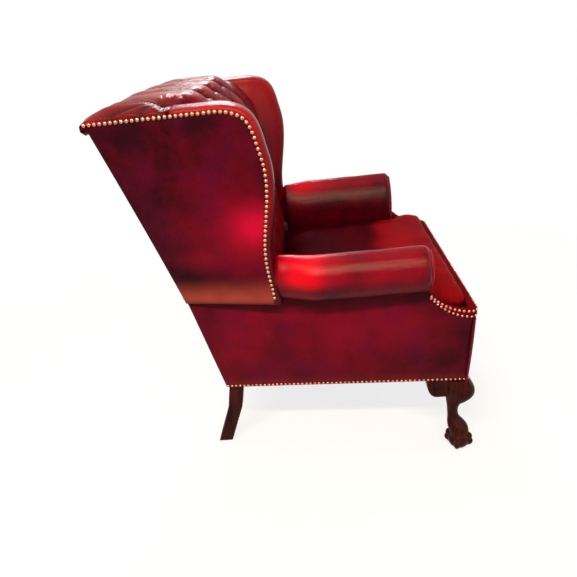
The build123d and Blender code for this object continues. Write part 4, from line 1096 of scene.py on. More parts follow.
def back_knots():
    """Side view of the buttoned back, from behind the cushion over the crest to the rear."""
    sizes = sizes_now()
    depth = sizes.crest_front_y - pad_front_y
    rise = crest_top_z - arm_under_z
    front_shares = (
        (0.0, 0.0),
        (0.06, 0.187),
        (0.13, 0.343),
        (0.14, 0.5),
        (0.2, 0.655),
        (0.33, 0.795),
        (0.53, 0.895),
        (1, 0.998),
    )
    front = [(pad_front_y + depth * a, arm_under_z + rise * b) for a, b in front_shares]
    edge_z = sizes.crest_edge_z
    crest = [
        (lerp(sizes.crest_front_y, crest_rear_y, a), lerp(edge_z, crest_top_z, b))
        for a, b in ((0.42, 1.0), (0.8, 0.78), (1.0, 0.0))
    ]
    return front, crest


def button_plan(front_length, rear_reach):
    """Places of the buttons and the end tucks, and the pleats between them, as (across, along) pairs."""
    sizes = sizes_now()
    pitch = sizes.button_pitch
    levels = [share * front_length for share in (0.15, 0.31, 0.47, 0.63, 0.79, 0.95)]
    last = len(levels) - 1
    buttons = []
    pleats = []
    for row, level in enumerate(levels):
        if row == last:
            places = [pitch * k for k in (-2, -1, 0, 1, 2)]
        elif row % 2 == 0:
            places = [pitch * k for k in (-1.5, -0.5, 0.5, 1.5)]
        else:
            places = [pitch * k for k in (-1, 0, 1)]
        buttons += [(x, level) for x in places]
        starts = list(places)
        if row % 2 and row < last:
            starts += [-2 * pitch, 2 * pitch]
        if row < last:
            for x in starts:
                for side in (-0.5, 0.5):
                    if abs(x + side * pitch) <= 2.01 * pitch:
                        pleats.append(((x, level), (x + side * pitch, levels[row + 1])))
        if row == 0:
            pleats += [((x, level), (x * 1.02, -0.09)) for x in places]
        if row == last:
            pleats += [((x, level), (x * 1.05, rear_reach)) for x in places[1:-1]]
    tucks = []
    tuck_pleats = ((0.345, 0.02), (0.352, 0.075), (0.34, 0.14), (0.27, 0.2), (0.2, 0.16))
    for side in (-1, 1):
        tuck = (side * sizes.end_tuck_x, front_length + sizes.end_tuck_y - sizes.crest_front_y)
        tucks.append(tuck)
        pleats.append(((side * 2 * pitch, levels[-1]), tuck))
        pleats += [(tuck, (side * x, front_length + along)) for x, along in tuck_pleats]
    return buttons, tucks, pleats


def nearest_pleat(across, along, pleats):
    """Distance from each point of a grid to its nearest pleat."""
    nearest = np.full(across.shape, far_off)
    for (ax, ay), (bx, by) in pleats:
        dx, dy = bx - ax, by - ay
        share = np.clip(((across - ax) * dx + (along - ay) * dy) / (dx * dx + dy * dy), 0, 1)
        nearest = np.minimum(nearest, np.hypot(across - ax - share * dx, along - ay - share * dy))
    return nearest


def nearest_pit(across, along, places):
    """Distance from each point of a grid to its nearest button, and the angle round it."""
    pit = np.full(across.shape, far_off)
    turn = np.zeros(across.shape)
    for x, y in places:
        gap = np.hypot(across - x, along - y)
        turn = np.where(gap < pit, np.arctan2(along - y, across - x) + x * 37 + y * 11, turn)
        pit = np.minimum(pit, gap)
    return pit, turn


def stuffing(across, along, tucks, share, pit, turn):
    """Height of the tufted leather over its smooth line."""
    sizes = sizes_now()
    pit_width = 0.019
    gather_from, gather_width = 0.024, 0.014
    ray_from, ray_width = 0.034, 0.02
    mound = sizes.pleat_depth * (np.sqrt(1 - (1 - share) ** 2) - 1)
    hole = -(sizes.pit_depth - sizes.pleat_depth) * np.exp(-((pit / pit_width) ** 2))
    fan = np.cos(9 * turn) * 0.6 + np.cos(14 * turn + 1.7) * 0.4
    gather = sizes.gather_height * fan * np.exp(-(((pit - gather_from) / gather_width) ** 2))
    for x, y in tucks:
        gap = np.hypot(across - x, along - y)
        angle = np.arctan2(along - y, across - x)
        rays = np.cos(13 * angle + 0.6) * 0.6 + np.cos(22 * angle) * 0.4
        gather = gather + sizes.tuck_gather * rays * np.exp(-(((gap - ray_from) / ray_width) ** 2))
    return mound + hole + gather + sizes.diamond_swell * share


def build_back():
    """Stuffed, buttoned leather that rolls over the crest."""
    sizes = sizes_now()
    crest_front_y = sizes.crest_front_y
    fine = 0.0036
    wave_scale, wave_height = 16, 0.0014
    least_thick = 0.004
    lowest_z = 0.40
    front, crest = back_knots()
    front_line = smooth_line(front, 260, first=(0, 1), last=(1, 0.0))
    crest_part = smooth_line([front[-1]] + crest, 120, first=(1, 0), last=(0, -1))
    front_length = length_of(front_line)
    rear_reach = front_length + length_of(crest_part) * 0.93
    crest_foot_z = back_top_z + 0.007
    tail = [Vector((crest_rear_y, crest_foot_z)), Vector((back_top_y + 0.004, back_top_z + 0.0012))]
    line = [Vector((pad_front_y, pad_foot_z))] + front_line + crest_part[1:] + tail
    total = length_of(line)
    rows = int(total / fine)
    line = resample(line, rows)
    outs = turned_out(line)
    reach = np.arange(rows) * (total / (rows - 1)) - (arm_under_z - pad_foot_z)

    columns = int(2 * crest_half / fine)
    half = np.empty(rows)
    for index, point in enumerate(line):
        flare = ease(crest_front_y - 0.008, crest_front_y + 0.02, point.x)
        half[index] = lerp(seat_half - 0.0004, crest_half, flare)
        if point.x > crest_front_y:
            half[index] = min(half[index], wing_half(point.x, wing_top_z) + 0.001)
        if reach[index] > rear_reach and point.y < crest_foot_z:
            half[index] -= 0.004
    across = np.linspace(-1, 1, columns)[None, :] * half[:, None]
    along = np.repeat(reach[:, None], columns, axis=1)
    buttons, tucks, pleats = button_plan(front_length, rear_reach)
    nearest = nearest_pleat(across, along, pleats)
    pit, turn = nearest_pit(across, along, buttons + tucks)
    share = np.clip(nearest / sizes.diamond_half, 0, 1)
    height = stuffing(across, along, tucks, share, pit, turn)

    base_y, base_z = np.array([[point.x, point.y] for point in line]).T[:, :, None]
    out_y, out_z = np.array([[normal.x, normal.y] for normal in outs]).T[:, :, None]
    deep = base_y + out_y * height
    high = base_z + out_z * height
    # The crest's ends drop to the wing's top, and its shoulders rise behind the wing
    radius = sizes.crest_end_round
    end = np.clip((np.abs(across) - (crest_half - radius)) / radius, 0, 1)
    dropped = 1 - np.sqrt(np.clip(1 - end**2, 0, 1))
    low_z = wing_top_z + 0.0005
    over = (base_y > crest_front_y - 0.01) & (high > low_z)
    high = np.where(over, high - (high - low_z) * dropped, high)
    lump = np.array([ease(crest_front_y - 0.004, crest_front_y + 0.045, point.x) for point in line])[:, None]
    sides = np.clip((np.abs(across) - 0.262) / 0.012, 0, 1)
    shoulder = wing_top_z + 0.012
    high = np.where(over & (high > shoulder), high - (high - shoulder) * (1 - lump) * sides, high)

    wave = np.empty(across.shape)
    for i in range(rows):
        for j in range(columns):
            wave[i, j] = noise.noise(Vector((across[i, j] * wave_scale, reach[i] * wave_scale, 4.0)))
    deep += out_y * wave * wave_height
    high += out_z * wave * wave_height

    inner_y = base_y - out_y * sizes.back_shell + 0 * across
    inner_z = base_z - out_z * sizes.back_shell + 0 * across
    inner_z = np.where(over, np.minimum(inner_z, high - least_thick), inner_z)
    inner_z = np.maximum(inner_z, lowest_z)
    limit = np.where(base_y[:, 0] > crest_front_y - 0.02, half - 0.013, half * 0.995)[:, None]
    inner_x = np.clip(across, -limit, limit)
    points = []
    for grid in ((across, deep, high), (inner_x, inner_y, inner_z)):
        points += [Vector(place) for place in zip(*(values.ravel() for values in grid))]

    # Painted shade in the pleats and button pits; painted light on the diamonds, less over the crest; a
    # painted warm sheen over the crest, fading towards its ends
    painted_shades = np.clip(np.exp(-nearest / 0.006) * 0.75 + np.exp(-((pit / 0.017) ** 2)), 0, 1)
    painted_lights = 0.26 + 0.4 * share - 0.12 * np.clip((along - front_length + 0.02) / 0.06, 0, 1)
    warms = 0.3 * np.clip((along - front_length) / 0.05, 0, 1)
    warms = warms * (1 - 0.8 * np.clip((np.abs(across) - 0.27) / 0.05, 0, 1))
    tones = [np.tile(values.ravel(), 2) for values in (painted_shades, painted_lights, warms)]
    faces = skin_faces(rows, columns)
    back = piece("buttoned_back", points, faces, finishes["back"], "body_leather", *tones)
    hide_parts("inside_back")
    build_buttons(buttons, line, outs, reach)


def dome(centre, out, radius, height, rings, around, sink=0.0):
    """Points and faces of a closed dome on a plane through centre."""
    side = out.orthogonal().normalized()
    other = out.cross(side)
    profile = [(1.0, -sink)]
    for ring in range(rings):
        rise = math.pi / 2 * ring / rings
        profile.append((math.cos(rise), height * math.sin(rise)))
    points = [centre - out * sink]
    for share, up in profile:
        for k in range(around):
            angle = 2 * math.pi * k / around
            turn = side * math.cos(angle) + other * math.sin(angle)
            points.append(centre + turn * radius * share + out * up)
    points.append(centre + out * height)
    last = 1 + (len(profile) - 1) * around
    faces = [(0, 1 + (k + 1) % around, 1 + k) for k in range(around)]
    faces += [tuple(index + 1 for index in face) for face in quads(len(profile), around, wrap=True)]
    faces += [(last + k, last + (k + 1) % around, len(points) - 1) for k in range(around)]
    return points, faces


def gathered(parts):
    """Joins lists of points and faces into one."""
    points = []
    faces = []
    for some_points, some_faces in parts:
        start = len(points)
        points += some_points
        faces += [tuple(index + start for index in face) for face in some_faces]
    return points, faces


def build_buttons(places, line, outs, reach):
    """Covered buttons at the bottom of their pits."""
    sizes = sizes_now()
    parts = []
    for x, level in places:
        index = int(np.argmin(np.abs(reach - level)))
        out = Vector((0, outs[index].x, outs[index].y))
        centre = Vector((x, line[index].x, line[index].y)) - out * (sizes.pit_depth - 0.0005)
        parts.append(dome(centre, out, sizes.button_radius, sizes.button_height, 5, 20, sink=0.003))
    points, faces = gathered(parts)
    painted_lights = [0.5] * len(points)
    buttons = piece("covered_buttons", points, faces, finishes["back"], "body_leather", painted_lights=painted_lights)
    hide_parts("back_buttons")


# Seat


def copied_mesh(node, name):
    """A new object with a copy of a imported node's mesh."""
    thing = bpy.data.objects.new(name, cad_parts[node].data.copy())
    bpy.context.scene.collection.objects.link(thing)
    return thing


def applied(thing, kind, **values):
    """Adds a modifier, sets it and applies it."""
    modifier = thing.modifiers.new(kind.lower(), kind)
    for label, value in values.items():
        setattr(modifier, label, value)
    apply_modifier(thing, modifier)


def apply_modifier(thing, modifier):
    with bpy.context.temp_override(object=thing, active_object=thing, selected_objects=[thing]):
        bpy.ops.object.modifier_apply(modifier=modifier.name)


def dressed(thing, finish, body, node):
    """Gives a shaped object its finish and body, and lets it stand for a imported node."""
    thing.data.materials.clear()
    thing.data.materials.append(finishes[finish])
    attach(thing, body)
    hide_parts(node)


def puff_up(thing, pressure, frames, cap):
    """Inflates a closed mesh as cloth and keeps each point within cap of where it was."""
    before = [vertex.co.copy() for vertex in thing.data.vertices]
    modifier = thing.modifiers.new("cloth", "CLOTH")
    settings = modifier.settings
    settings.use_pressure = True
    settings.uniform_pressure_force = pressure
    settings.effector_weights.gravity = 0
    settings.tension_stiffness = 12
    settings.compression_stiffness = 8
    settings.bending_stiffness = 0.6
    modifier.collision_settings.use_collision = False
    scene = bpy.context.scene
    for number in range(1, frames + 1):
        scene.frame_set(number)
    apply_modifier(thing, modifier)
    scene.frame_set(1)
    for vertex, start in zip(thing.data.vertices, before):
        moved = vertex.co - start
        if moved.length > cap:
            vertex.co = start + moved.normalized() * cap


def build_cushion():
    """The loose T-shaped cushion: crowned, with puckered edges and painted shade round its foot."""
    sizes = sizes_now()
    cushion = copied_mesh("seat_cushion", "seat_cushion_cover")
    voxel = 0.005
    applied(cushion, "REMESH", mode="VOXEL", voxel_size=voxel, use_smooth_shade=True)
    applied(cushion, "SMOOTH", factor=0.5, iterations=8)
    puff_up(cushion, 3.0, 18, sizes.cushion_puff)
    applied(cushion, "SMOOTH", factor=0.5, iterations=4)
    low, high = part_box("seat_cushion")
    mesh = cushion.data
    painted_shades = []
    painted_lights = []
    # The cushion is wider in front of the arms, and its top edge lies between two heights
    notch_y = arm_front_y - 0.012
    edge_low_z, edge_high_z = 0.470, 0.484
    pucker_width, pucker_height = 0.03, 0.0034
    corner_width, corner_height = 0.04, 0.0013
    for vertex in mesh.vertices:
        x, y, z = vertex.co
        half = high.x if y < notch_y else seat_half - 0.004
        side_gap = half - abs(x)
        front_gap = y - low.y
        gap = max(min(side_gap, front_gap, high.y - y), 0.0)
        around = y if side_gap < front_gap else x
        top = ease(edge_low_z, edge_high_z, z)
        pucker = math.exp(-gap / pucker_width) * top
        wave = ripple((around * 46, gap * 9, 1.0), 1.0, 6.0) * pucker_height * pucker
        broad = ripple((x, y, 0), 9.0, 8.0) * 0.0016 * top
        corner = math.hypot(max(high.x - 0.03 - abs(x), 0), max(y - low.y - 0.02, 0))
        gather = math.cos(math.atan2(y - low.y - 0.03, high.x - 0.05 - abs(x)) * 16)
        uneven = 0.6 + 0.6 * ripple((x, y, z), 60.0, 3.0)
        fade = math.exp(-((corner / corner_width) ** 2))
        wave += corner_height * uneven * gather * fade * ease(0.455, 0.47, z)
        vertex.co = vertex.co + vertex.normal * (wave + broad)
        # Painted light on the cushion's front; painted shade round its foot, away from the light and in the
        # puckers' hollows
        lit = ease(-0.2, -0.26, y + 0.6 * x * x + 0.012 * ripple((x, y, 0), 14.0, 2.0))
        painted_shades.append(0.85 * ease(0.474, 0.462, z) + 0.4 * (1 - lit) * top + max(-wave, 0) * 220)
        painted_lights.append(0.16 + 0.46 * lit + 0.1 * ease(-0.36, -0.43, y))
    for label, values in (("painted_shade", painted_shades), ("painted_light", painted_lights)):
        layer = mesh.attributes.new(label, "FLOAT", "POINT")
        layer.data.foreach_set("value", values)
    applied(cushion, "SUBSURF", levels=1)
    cushion.data.shade_smooth()
    dressed(cushion, "seat", "cushion", "seat_cushion")


def build_deck():
    """The sprung platform that the cushion lies on."""
    deck = copied_mesh("seat_deck", "seat_platform")
    applied(deck, "REMESH", mode="VOXEL", voxel_size=0.009, use_smooth_shade=True)
    applied(deck, "SMOOTH", factor=0.5, iterations=5)
    dressed(deck, "seat", "chair", "seat_deck")


def build_dust_cover():
    """Cambric stretched under the seat frame, with a little sag, cut round the legs."""
    low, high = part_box("dust_cover")
    columns, rows = 44, 46
    side_inset = 0.0145
    deepest = 0.003
    points = []
    for row in range(rows + 1):
        y = lerp(low.y, high.y, row / rows)
        half = body_half(y, foot_z) - side_inset
        for column in range(columns + 1):
            x = lerp(-half, half, column / columns)
            sag = deepest * math.sin(math.pi * row / rows) * math.sin(math.pi * column / columns)
            points.append(Vector((x, y, high.z - 0.0002 - sag)))
    # The cloth is cut away round the legs
    front_leg_x, front_leg_y = 0.221, -0.3195
    rear_leg_x, rear_leg_y = 0.215, 0.19
    faces = []
    for face in quads(rows + 1, columns + 1):
        middle = sum((points[index] for index in face), Vector()) / 4
        at_front_leg = abs(middle.x) > front_leg_x and middle.y < front_leg_y
        at_rear_leg = abs(middle.x) > rear_leg_x and middle.y > rear_leg_y
        if at_front_leg or at_rear_leg:
            continue
        faces.append(face)
    mesh = bpy.data.meshes.new("dust_cloth")
    mesh.from_pydata([tuple(point) for point in points], [], faces)
    thing = bpy.data.objects.new("dust_cloth", mesh)
    bpy.context.scene.collection.objects.link(thing)
    work = bmesh.new()
    work.from_mesh(mesh)
    bmesh.ops.delete(work, geom=[v for v in work.verts if not v.link_faces], context="VERTS")
    work.to_mesh(mesh)
    work.free()
    applied(thing, "SOLIDIFY", thickness=0.001, offset=1.0)
    thing.data.shade_smooth()
    dressed(thing, "cambric", "chair", "dust_cover")


# Nails


def nail_line(name, points, outs, start=0.0, small=False):
    """Domed nails at an even pitch along a line of points with outward directions."""
    sizes = sizes_now()
    count = max(int(round((length_of(points) - 2 * start) / sizes.nail_pitch)), 1)
    radius = sizes.small_nail_radius if small else sizes.nail_radius
    height = radius * sizes.nail_rise
    parts = []
    for number, (index, share) in enumerate(even_places(points, count + 1, start)):
        place = points[index].lerp(points[index + 1], share)
        out = outs[index].lerp(outs[index + 1], share).normalized()
        wobble = Vector((0, ripple((number, 0, 1), 7.3, 2.0), ripple((number, 2, 5), 5.1, 9.0))) * 0.0004
        parts.append(dome(place + wobble, out, radius, height, 4, 12, sink=0.001))
    points, faces = gathered(parts)
    return piece(name, points, faces, finishes["nail"], "body_leather")


def build_nails():
    """Nail lines on the wings, the lip, the body's foot and the outside back."""
    sizes = sizes_now()
    edge, _ = wing_edge(0.0025, 200)
    for step in range(1, 80):
        edge.append(Vector((lerp(sizes.nail_top_y, crest_rear_y - 0.008, step / 79), wing_top_z + 0.0025)))
    on_edge = [Vector((wing_half(p.x, p.y) + 0.0012, p.x, p.y)) for p in edge if p.y > sizes.nail_foot_z]
    paired(nail_line("wing_nails_left", on_edge, [Vector((1, 0, 0))] * len(on_edge)))

    plan = lip_plan()
    # Each line's edge of the lip, and how far above it the nails stand
    for label, edge_z, offset in (("low", lip_low_z, 0.0055), ("high", lip_high_z, -0.0045)):
        points = []
        outs = []
        for point, out in plan:
            place = point + out * 0.0022
            points.append(Vector((place.x, place.y, edge_z(point.y) + offset)))
            outs.append(Vector((out.x, out.y, 0.0)))
        nail_line(f"lip_nails_{label}", points, outs, 0.006, small=True)

    height = foot_z + sizes.nail_foot_gap
    rear_y = back_y(height)
    points = []
    outs = []
    front = rounded_front(height)
    corner = front[: len(front) // 2 + 1]
    for index in range(len(corner) - 1, -1, -1):
        point = corner[index]
        ahead = corner[index - 1] - point if index else Vector((0, 1))
        ahead.normalize()
        out = Vector((ahead.y, -ahead.x, 0))
        points.append(Vector((point.x, point.y, height)) + out * 0.0005)
        outs.append(out)
    for step in range(1, 61):
        y = lerp(corner[0].y, rear_y - 0.006, step / 60)
        points.append(Vector((body_half(y, height) + 0.0008, y, height)))
        outs.append(Vector((1, 0, 0)))
    paired(nail_line("foot_nails_left", points, outs, small=True))

    points = []
    outs = []
    inset = 0.015
    proud = 0.0018
    foot_half = body_half(rear_y, height) - inset
    for step in range(30):
        points.append(Vector((foot_half * step / 29, rear_y + proud, height)))
        outs.append(Vector((0, 1, 0)))
    for step in range(1, 90):
        z = lerp(height, back_top_z - 0.012, step / 89)
        half = body_half(back_y(z), z) if z < arm_under_z else wing_half(back_y(z), z)
        points.append(Vector((half - inset, back_y(z) + proud, z)))
        outs.append(Vector((0, 1, 0)))
    top = points[-1].copy()
    for step in range(1, 34):
        points.append(Vector((top.x * (1 - step / 33), top.y, top.z)))
        outs.append(Vector((0, 1, 0)))
    paired(nail_line("rear_nails_left", points, outs, small=True))


# Hard parts and the studio


def tube(path, sides):
    """Closed solid round a path of (point, radius) pairs."""
    points = []
    for index, (place, radius) in enumerate(path):
        ahead = path[min(index + 1, len(path) - 1)][0] - path[max(index - 1, 0)][0]
        if index == 0:
            across = ahead.orthogonal().normalized()
        else:
            across = across - ahead * across.dot(ahead) / ahead.dot(ahead)
        across.normalize()
        other = ahead.normalized().cross(across)
        for step in range(sides):
            angle = 2 * math.pi * step / sides
            points.append(place + (across * math.cos(angle) + other * math.sin(angle)) * radius)
    return points, tube_faces(len(path), sides)


def carved(name, parts, voxel, rounds):
    """Joins closed solids into one smooth carved piece."""
    points, faces = gathered(parts)
    thing = piece(name, points, faces, finishes["mahogany"], "show_wood")
    applied(thing, "REMESH", mode="VOXEL", voxel_size=voxel, use_smooth_shade=True)
    applied(thing, "SMOOTH", factor=0.5, iterations=rounds)
    thing.data.materials.clear()
    thing.data.materials.append(finishes["mahogany"])
    return thing


def leg_shaft():
    """The cabriole's flat-sided rings: full knee, straight slim ankle and a cuff over the ball."""
    # Height, half width, depth and half thickness
    knots = (
        (0.2275, 0.3055, -0.4035, 0.0320),
        (0.2150, 0.3080, -0.4070, 0.0350),
        (0.1960, 0.3115, -0.4125, 0.0392),
        (0.1780, 0.3130, -0.4135, 0.0390),
        (0.1620, 0.3150, -0.4060, 0.0320),
        (0.1500, 0.3190, -0.3965, 0.0220),
        (0.1360, 0.3230, -0.3925, 0.0165),
        (0.1160, 0.3255, -0.3920, 0.0150),
        (0.1020, 0.3280, -0.3940, 0.0165),
        (0.0900, 0.3330, -0.3985, 0.0225),
        (0.0780, 0.3385, -0.4035, 0.0275),
        (0.0630, 0.3420, -0.4070, 0.0280),
        (0.0480, 0.3430, -0.4080, 0.0260),
    )
    rings = smooth_line(knots, 40)
    sides = 28
    points = []
    for z, x, y, radius in rings:
        squareness = lerp(0.62, 1.0, ease(0.2275, 0.17, z))
        for step in range(sides):
            angle = 2 * math.pi * step / sides
            cosine, sine = math.cos(angle), math.sin(angle)
            reach_x = math.copysign(abs(cosine) ** squareness, cosine)
            reach_y = math.copysign(abs(sine) ** squareness, sine)
            points.append(Vector((x + radius * reach_x, y + radius * reach_y, z)))
    return points, tube_faces(len(rings), sides)


def ball_and_claws():
    """Closed solids of the ball, flat below, and of the four claws round it."""
    sizes = sizes_now()
    radius = sizes.ball_radius
    centre = Vector((sizes.ball_x, sizes.ball_y, sizes.ball_foot + radius * 0.93))
    rings = 18
    around = 32
    points = []
    for ring in range(rings + 1):
        polar = math.pi * lerp(0.02, 0.98, ring / rings)
        place = centre + Vector((0, 0, radius * math.cos(polar)))
        place.z = max(place.z, sizes.ball_foot)
        for step in range(around):
            angle = 2 * math.pi * step / around
            points.append(place + Vector((math.cos(angle), math.sin(angle), 0)) * (radius * math.sin(polar)))
    parts = [(points, tube_faces(rings + 1, around))]
    # Two knuckles and a pointed nail along each claw
    swells = ((0.0, 1.15), (0.2, 0.95), (0.36, 1.4), (0.5, 0.95), (0.66, 1.3), (0.82, 0.8), (1.0, 0.25))
    for claw in range(4):
        turn = math.radians(22.5 + 90 * claw)
        path = []
        for share, swell in swells:
            lift = math.radians(lerp(72, -48, share))
            flat = Vector((math.cos(turn), math.sin(turn), 0)) * math.cos(lift)
            place = centre + (flat + Vector((0, 0, math.sin(lift)))) * (radius + 0.0012 * swell)
            path.append(Vector((*place, sizes.claw_radius * swell)))
        parts.append(tube([(Vector(p[:3]), max(p[3], 0.001)) for p in smooth_line(path, 26)], 12))
    return parts


def knee_ear(along, inward, start, reach, depth, thick):
    """A rounded ear that runs from the knee under the rail."""
    # How far each corner runs along the rail, and its height
    profile = []
    steps = 10
    for step in range(steps + 1):
        turn = math.pi / 2 * step / steps
        profile.append((reach * (0.62 + 0.38 * math.cos(turn)), -depth * math.sin(turn) ** 0.8))
    profile += [(reach * 0.3, -depth), (0.0, -depth * 1.04), (0.0, 0.0)]
    points = []
    for side in (0.0, thick):
        for run, drop in profile:
            points.append(start + along * run + inward * side + Vector((0, 0, drop)))
    return points, tube_faces(2, len(profile))


def build_legs():
    """Cabriole front legs with ball-and-claw feet, and their knee brackets."""
    voxel = 0.0013
    leg = carved("front_leg_left", [leg_shaft(), *ball_and_claws()], voxel, 4)
    top_z = foot_z - 0.0006
    outer_x, outer_y = 0.3285, -0.430
    inward, rearward = Vector((-1, 0, 0)), Vector((0, 1, 0))
    side_start = Vector((outer_x, -0.392, top_z))
    front_start = Vector((0.296, outer_y, top_z))
    side_ear = knee_ear(rearward, inward, side_start, 0.074, 0.055, 0.032)
    front_ear = knee_ear(inward, rearward, front_start, 0.074, 0.055, 0.032)
    ears = carved("knee_brackets_left", [side_ear, front_ear], voxel, 6)
    paired(leg, "front_leg")
    paired(ears, "knee_brackets")


def build_woodwork():
    """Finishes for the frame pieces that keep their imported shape."""
    wanted = {
        "mahogany": ("front_leg", "knee_brackets", "back_post"),
        "beech": ("_rail", "corner_blocks", "stay", "arm_post", "wing_post"),
        "jute": ("webbing",),
        "steel": ("leg_bolts", "leg_glides"),
    }
    for name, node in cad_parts.items():
        for finish, words in wanted.items():
            if any(word in name for word in words):
                for slot in node.material_slots:
                    slot.material = finishes[finish]


def area_lamp(name, place, target, width, height, power, colour):
    """A lamp aimed at a target, and not seen by the camera itself."""
    lamp = bpy.data.lights.new(name, "AREA")
    lamp.shape = "RECTANGLE"
    lamp.size = width
    lamp.size_y = height
    lamp.energy = power
    lamp.color = colour
    thing = bpy.data.objects.new(name, lamp)
    thing.location = place
    aim = (Vector(target) - Vector(place)).normalized()
    thing.rotation_mode = "QUATERNION"
    thing.rotation_quaternion = aim.to_track_quat("-Z", "Y")
    thing.visible_camera = False
    bpy.context.scene.collection.objects.link(thing)


def pale_stage_material():
    """Pale floor that keeps the chair's shadow and turns plain white away from it."""
    material, tree, shader, place = new_material("pale_floor")
    fleck = noise_node(tree, place, 14.0, 3.0)
    share = range_node(tree, fleck, 0.3, 0.7, 0.0, 1.0)
    colour = mix_node(tree, share, (0.8, 0.8, 0.81, 1), (0.84, 0.84, 0.84, 1))
    wire(tree, colour, shader.inputs["Base Color"])
    shader.inputs["Roughness"].default_value = 0.9
    shader.inputs["Specular IOR Level"].default_value = 0.1
    away = tree.nodes.new("ShaderNodeVectorMath")
    away.operation = "LENGTH"
    wire(tree, place, away.inputs[0])
    white = range_node(tree, away.outputs["Value"], 0.5, 2.0, 0.8, 1.0)
    plain = tree.nodes.new("ShaderNodeEmission")
    mixed = tree.nodes.new("ShaderNodeMixShader")
    wire(tree, math_node(tree, "MULTIPLY", seen_directly(tree), white), mixed.inputs[0])
    wire(tree, shader.outputs[0], mixed.inputs[1])
    wire(tree, plain.outputs[0], mixed.inputs[2])
    wire(tree, mixed.outputs[0], tree.nodes["Material Output"].inputs["Surface"])
    return material


def seen_directly(tree):
    """1 for rays from the camera, and in gloss and glass."""
    path = tree.nodes.new("ShaderNodeLightPath")
    seen = math_node(tree, "MAXIMUM", path.outputs["Is Camera Ray"], path.outputs["Is Glossy Ray"])
    return math_node(tree, "MAXIMUM", seen, path.outputs["Is Transmission Ray"])


def build_camera():
    """The photo's own view: where it stands, its turns and its lens."""
    scene = bpy.context.scene
    camera = bpy.data.cameras.new("camera")
    camera.sensor_width = 36.0
    camera.lens = 31.79
    camera.clip_end = 60.0
    yaw, pitch, roll = (math.radians(angle) for angle in (4.58, 27.03, -6.9))
    ahead = Vector((math.cos(yaw) * math.cos(pitch), math.sin(yaw) * math.cos(pitch), -math.sin(pitch)))
    right = Vector((math.sin(yaw), -math.cos(yaw), 0))
    up = right.cross(ahead)
    turned_right = right * math.cos(roll) + up * math.sin(roll)
    turned_up = up * math.cos(roll) - right * math.sin(roll)
    axes = Matrix((turned_right, turned_up, -ahead)).transposed()
    eye = bpy.data.objects.new("camera", camera)
    eye.matrix_world = Matrix.Translation((-1.482, -0.0555, 1.149)) @ axes.to_4x4()
    scene.collection.objects.link(eye)
    scene.camera = eye


def build_stage():
    """Floor, white surroundings, lamps and camera."""
    scene = bpy.context.scene
    colours = colours_now()
    floor = bpy.data.meshes.new("floor")
    reach = 14.0
    corners = [(-reach, -reach, 0), (reach, -reach, 0), (reach, reach, 0), (-reach, reach, 0)]
    floor.from_pydata(corners, [], [(0, 1, 2, 3)])
    floor.materials.append(pale_stage_material())
    thing = bpy.data.objects.new("floor", floor)
    scene.collection.objects.link(thing)

    world = bpy.data.worlds.new("studio")
    world.use_nodes = True
    tree = world.node_tree
    tree.nodes.clear()
    sky = tree.nodes.new("ShaderNodeBackground")
    sky.inputs["Color"].default_value = (1, 1, 1, 1)
    wire(tree, math_node(tree, "MAXIMUM", seen_directly(tree), colours.sky_fill), sky.inputs["Strength"])
    out = tree.nodes.new("ShaderNodeOutputWorld")
    wire(tree, sky.outputs[0], out.inputs[0])
    scene.world = world

    warm, cool, plain = (1.0, 0.76, 0.5), (0.95, 0.97, 1.0), (1.0, 0.98, 0.96)
    fill = colours.fill_power
    area_lamp("warm_strip", (-1.75, 0.2, 2.35), (0, 0, 0.6), 2.5, 0.11, colours.lamp_power, warm)
    area_lamp("window", (2.3, 0.35, 2.6), (0, 0.1, 0.8), 0.8, 0.26, colours.window_power, cool)
    area_lamp("front_fill", (-1.2, -2.6, 1.6), (0, 0, 0.6), 1.8, 1.4, fill, plain)
    area_lamp("top_fill", (0.2, 0.4, 3.6), (0, 0, 0.5), 2.5, 2.5, fill, plain)
    area_lamp("rear_fill", (0.6, 3.0, 1.9), (0, 0, 0.6), 1.6, 1.2, fill * 0.7, plain)
    build_camera()
    scene.view_settings.view_transform = "Standard"


def colour(label, words, default):
    return FloatVectorProperty(name=label, description=words, subtype="COLOR", default=default)


def distance(label, words, default):
    return FloatProperty(name=label, description=words, default=default, unit="LENGTH", precision=4)


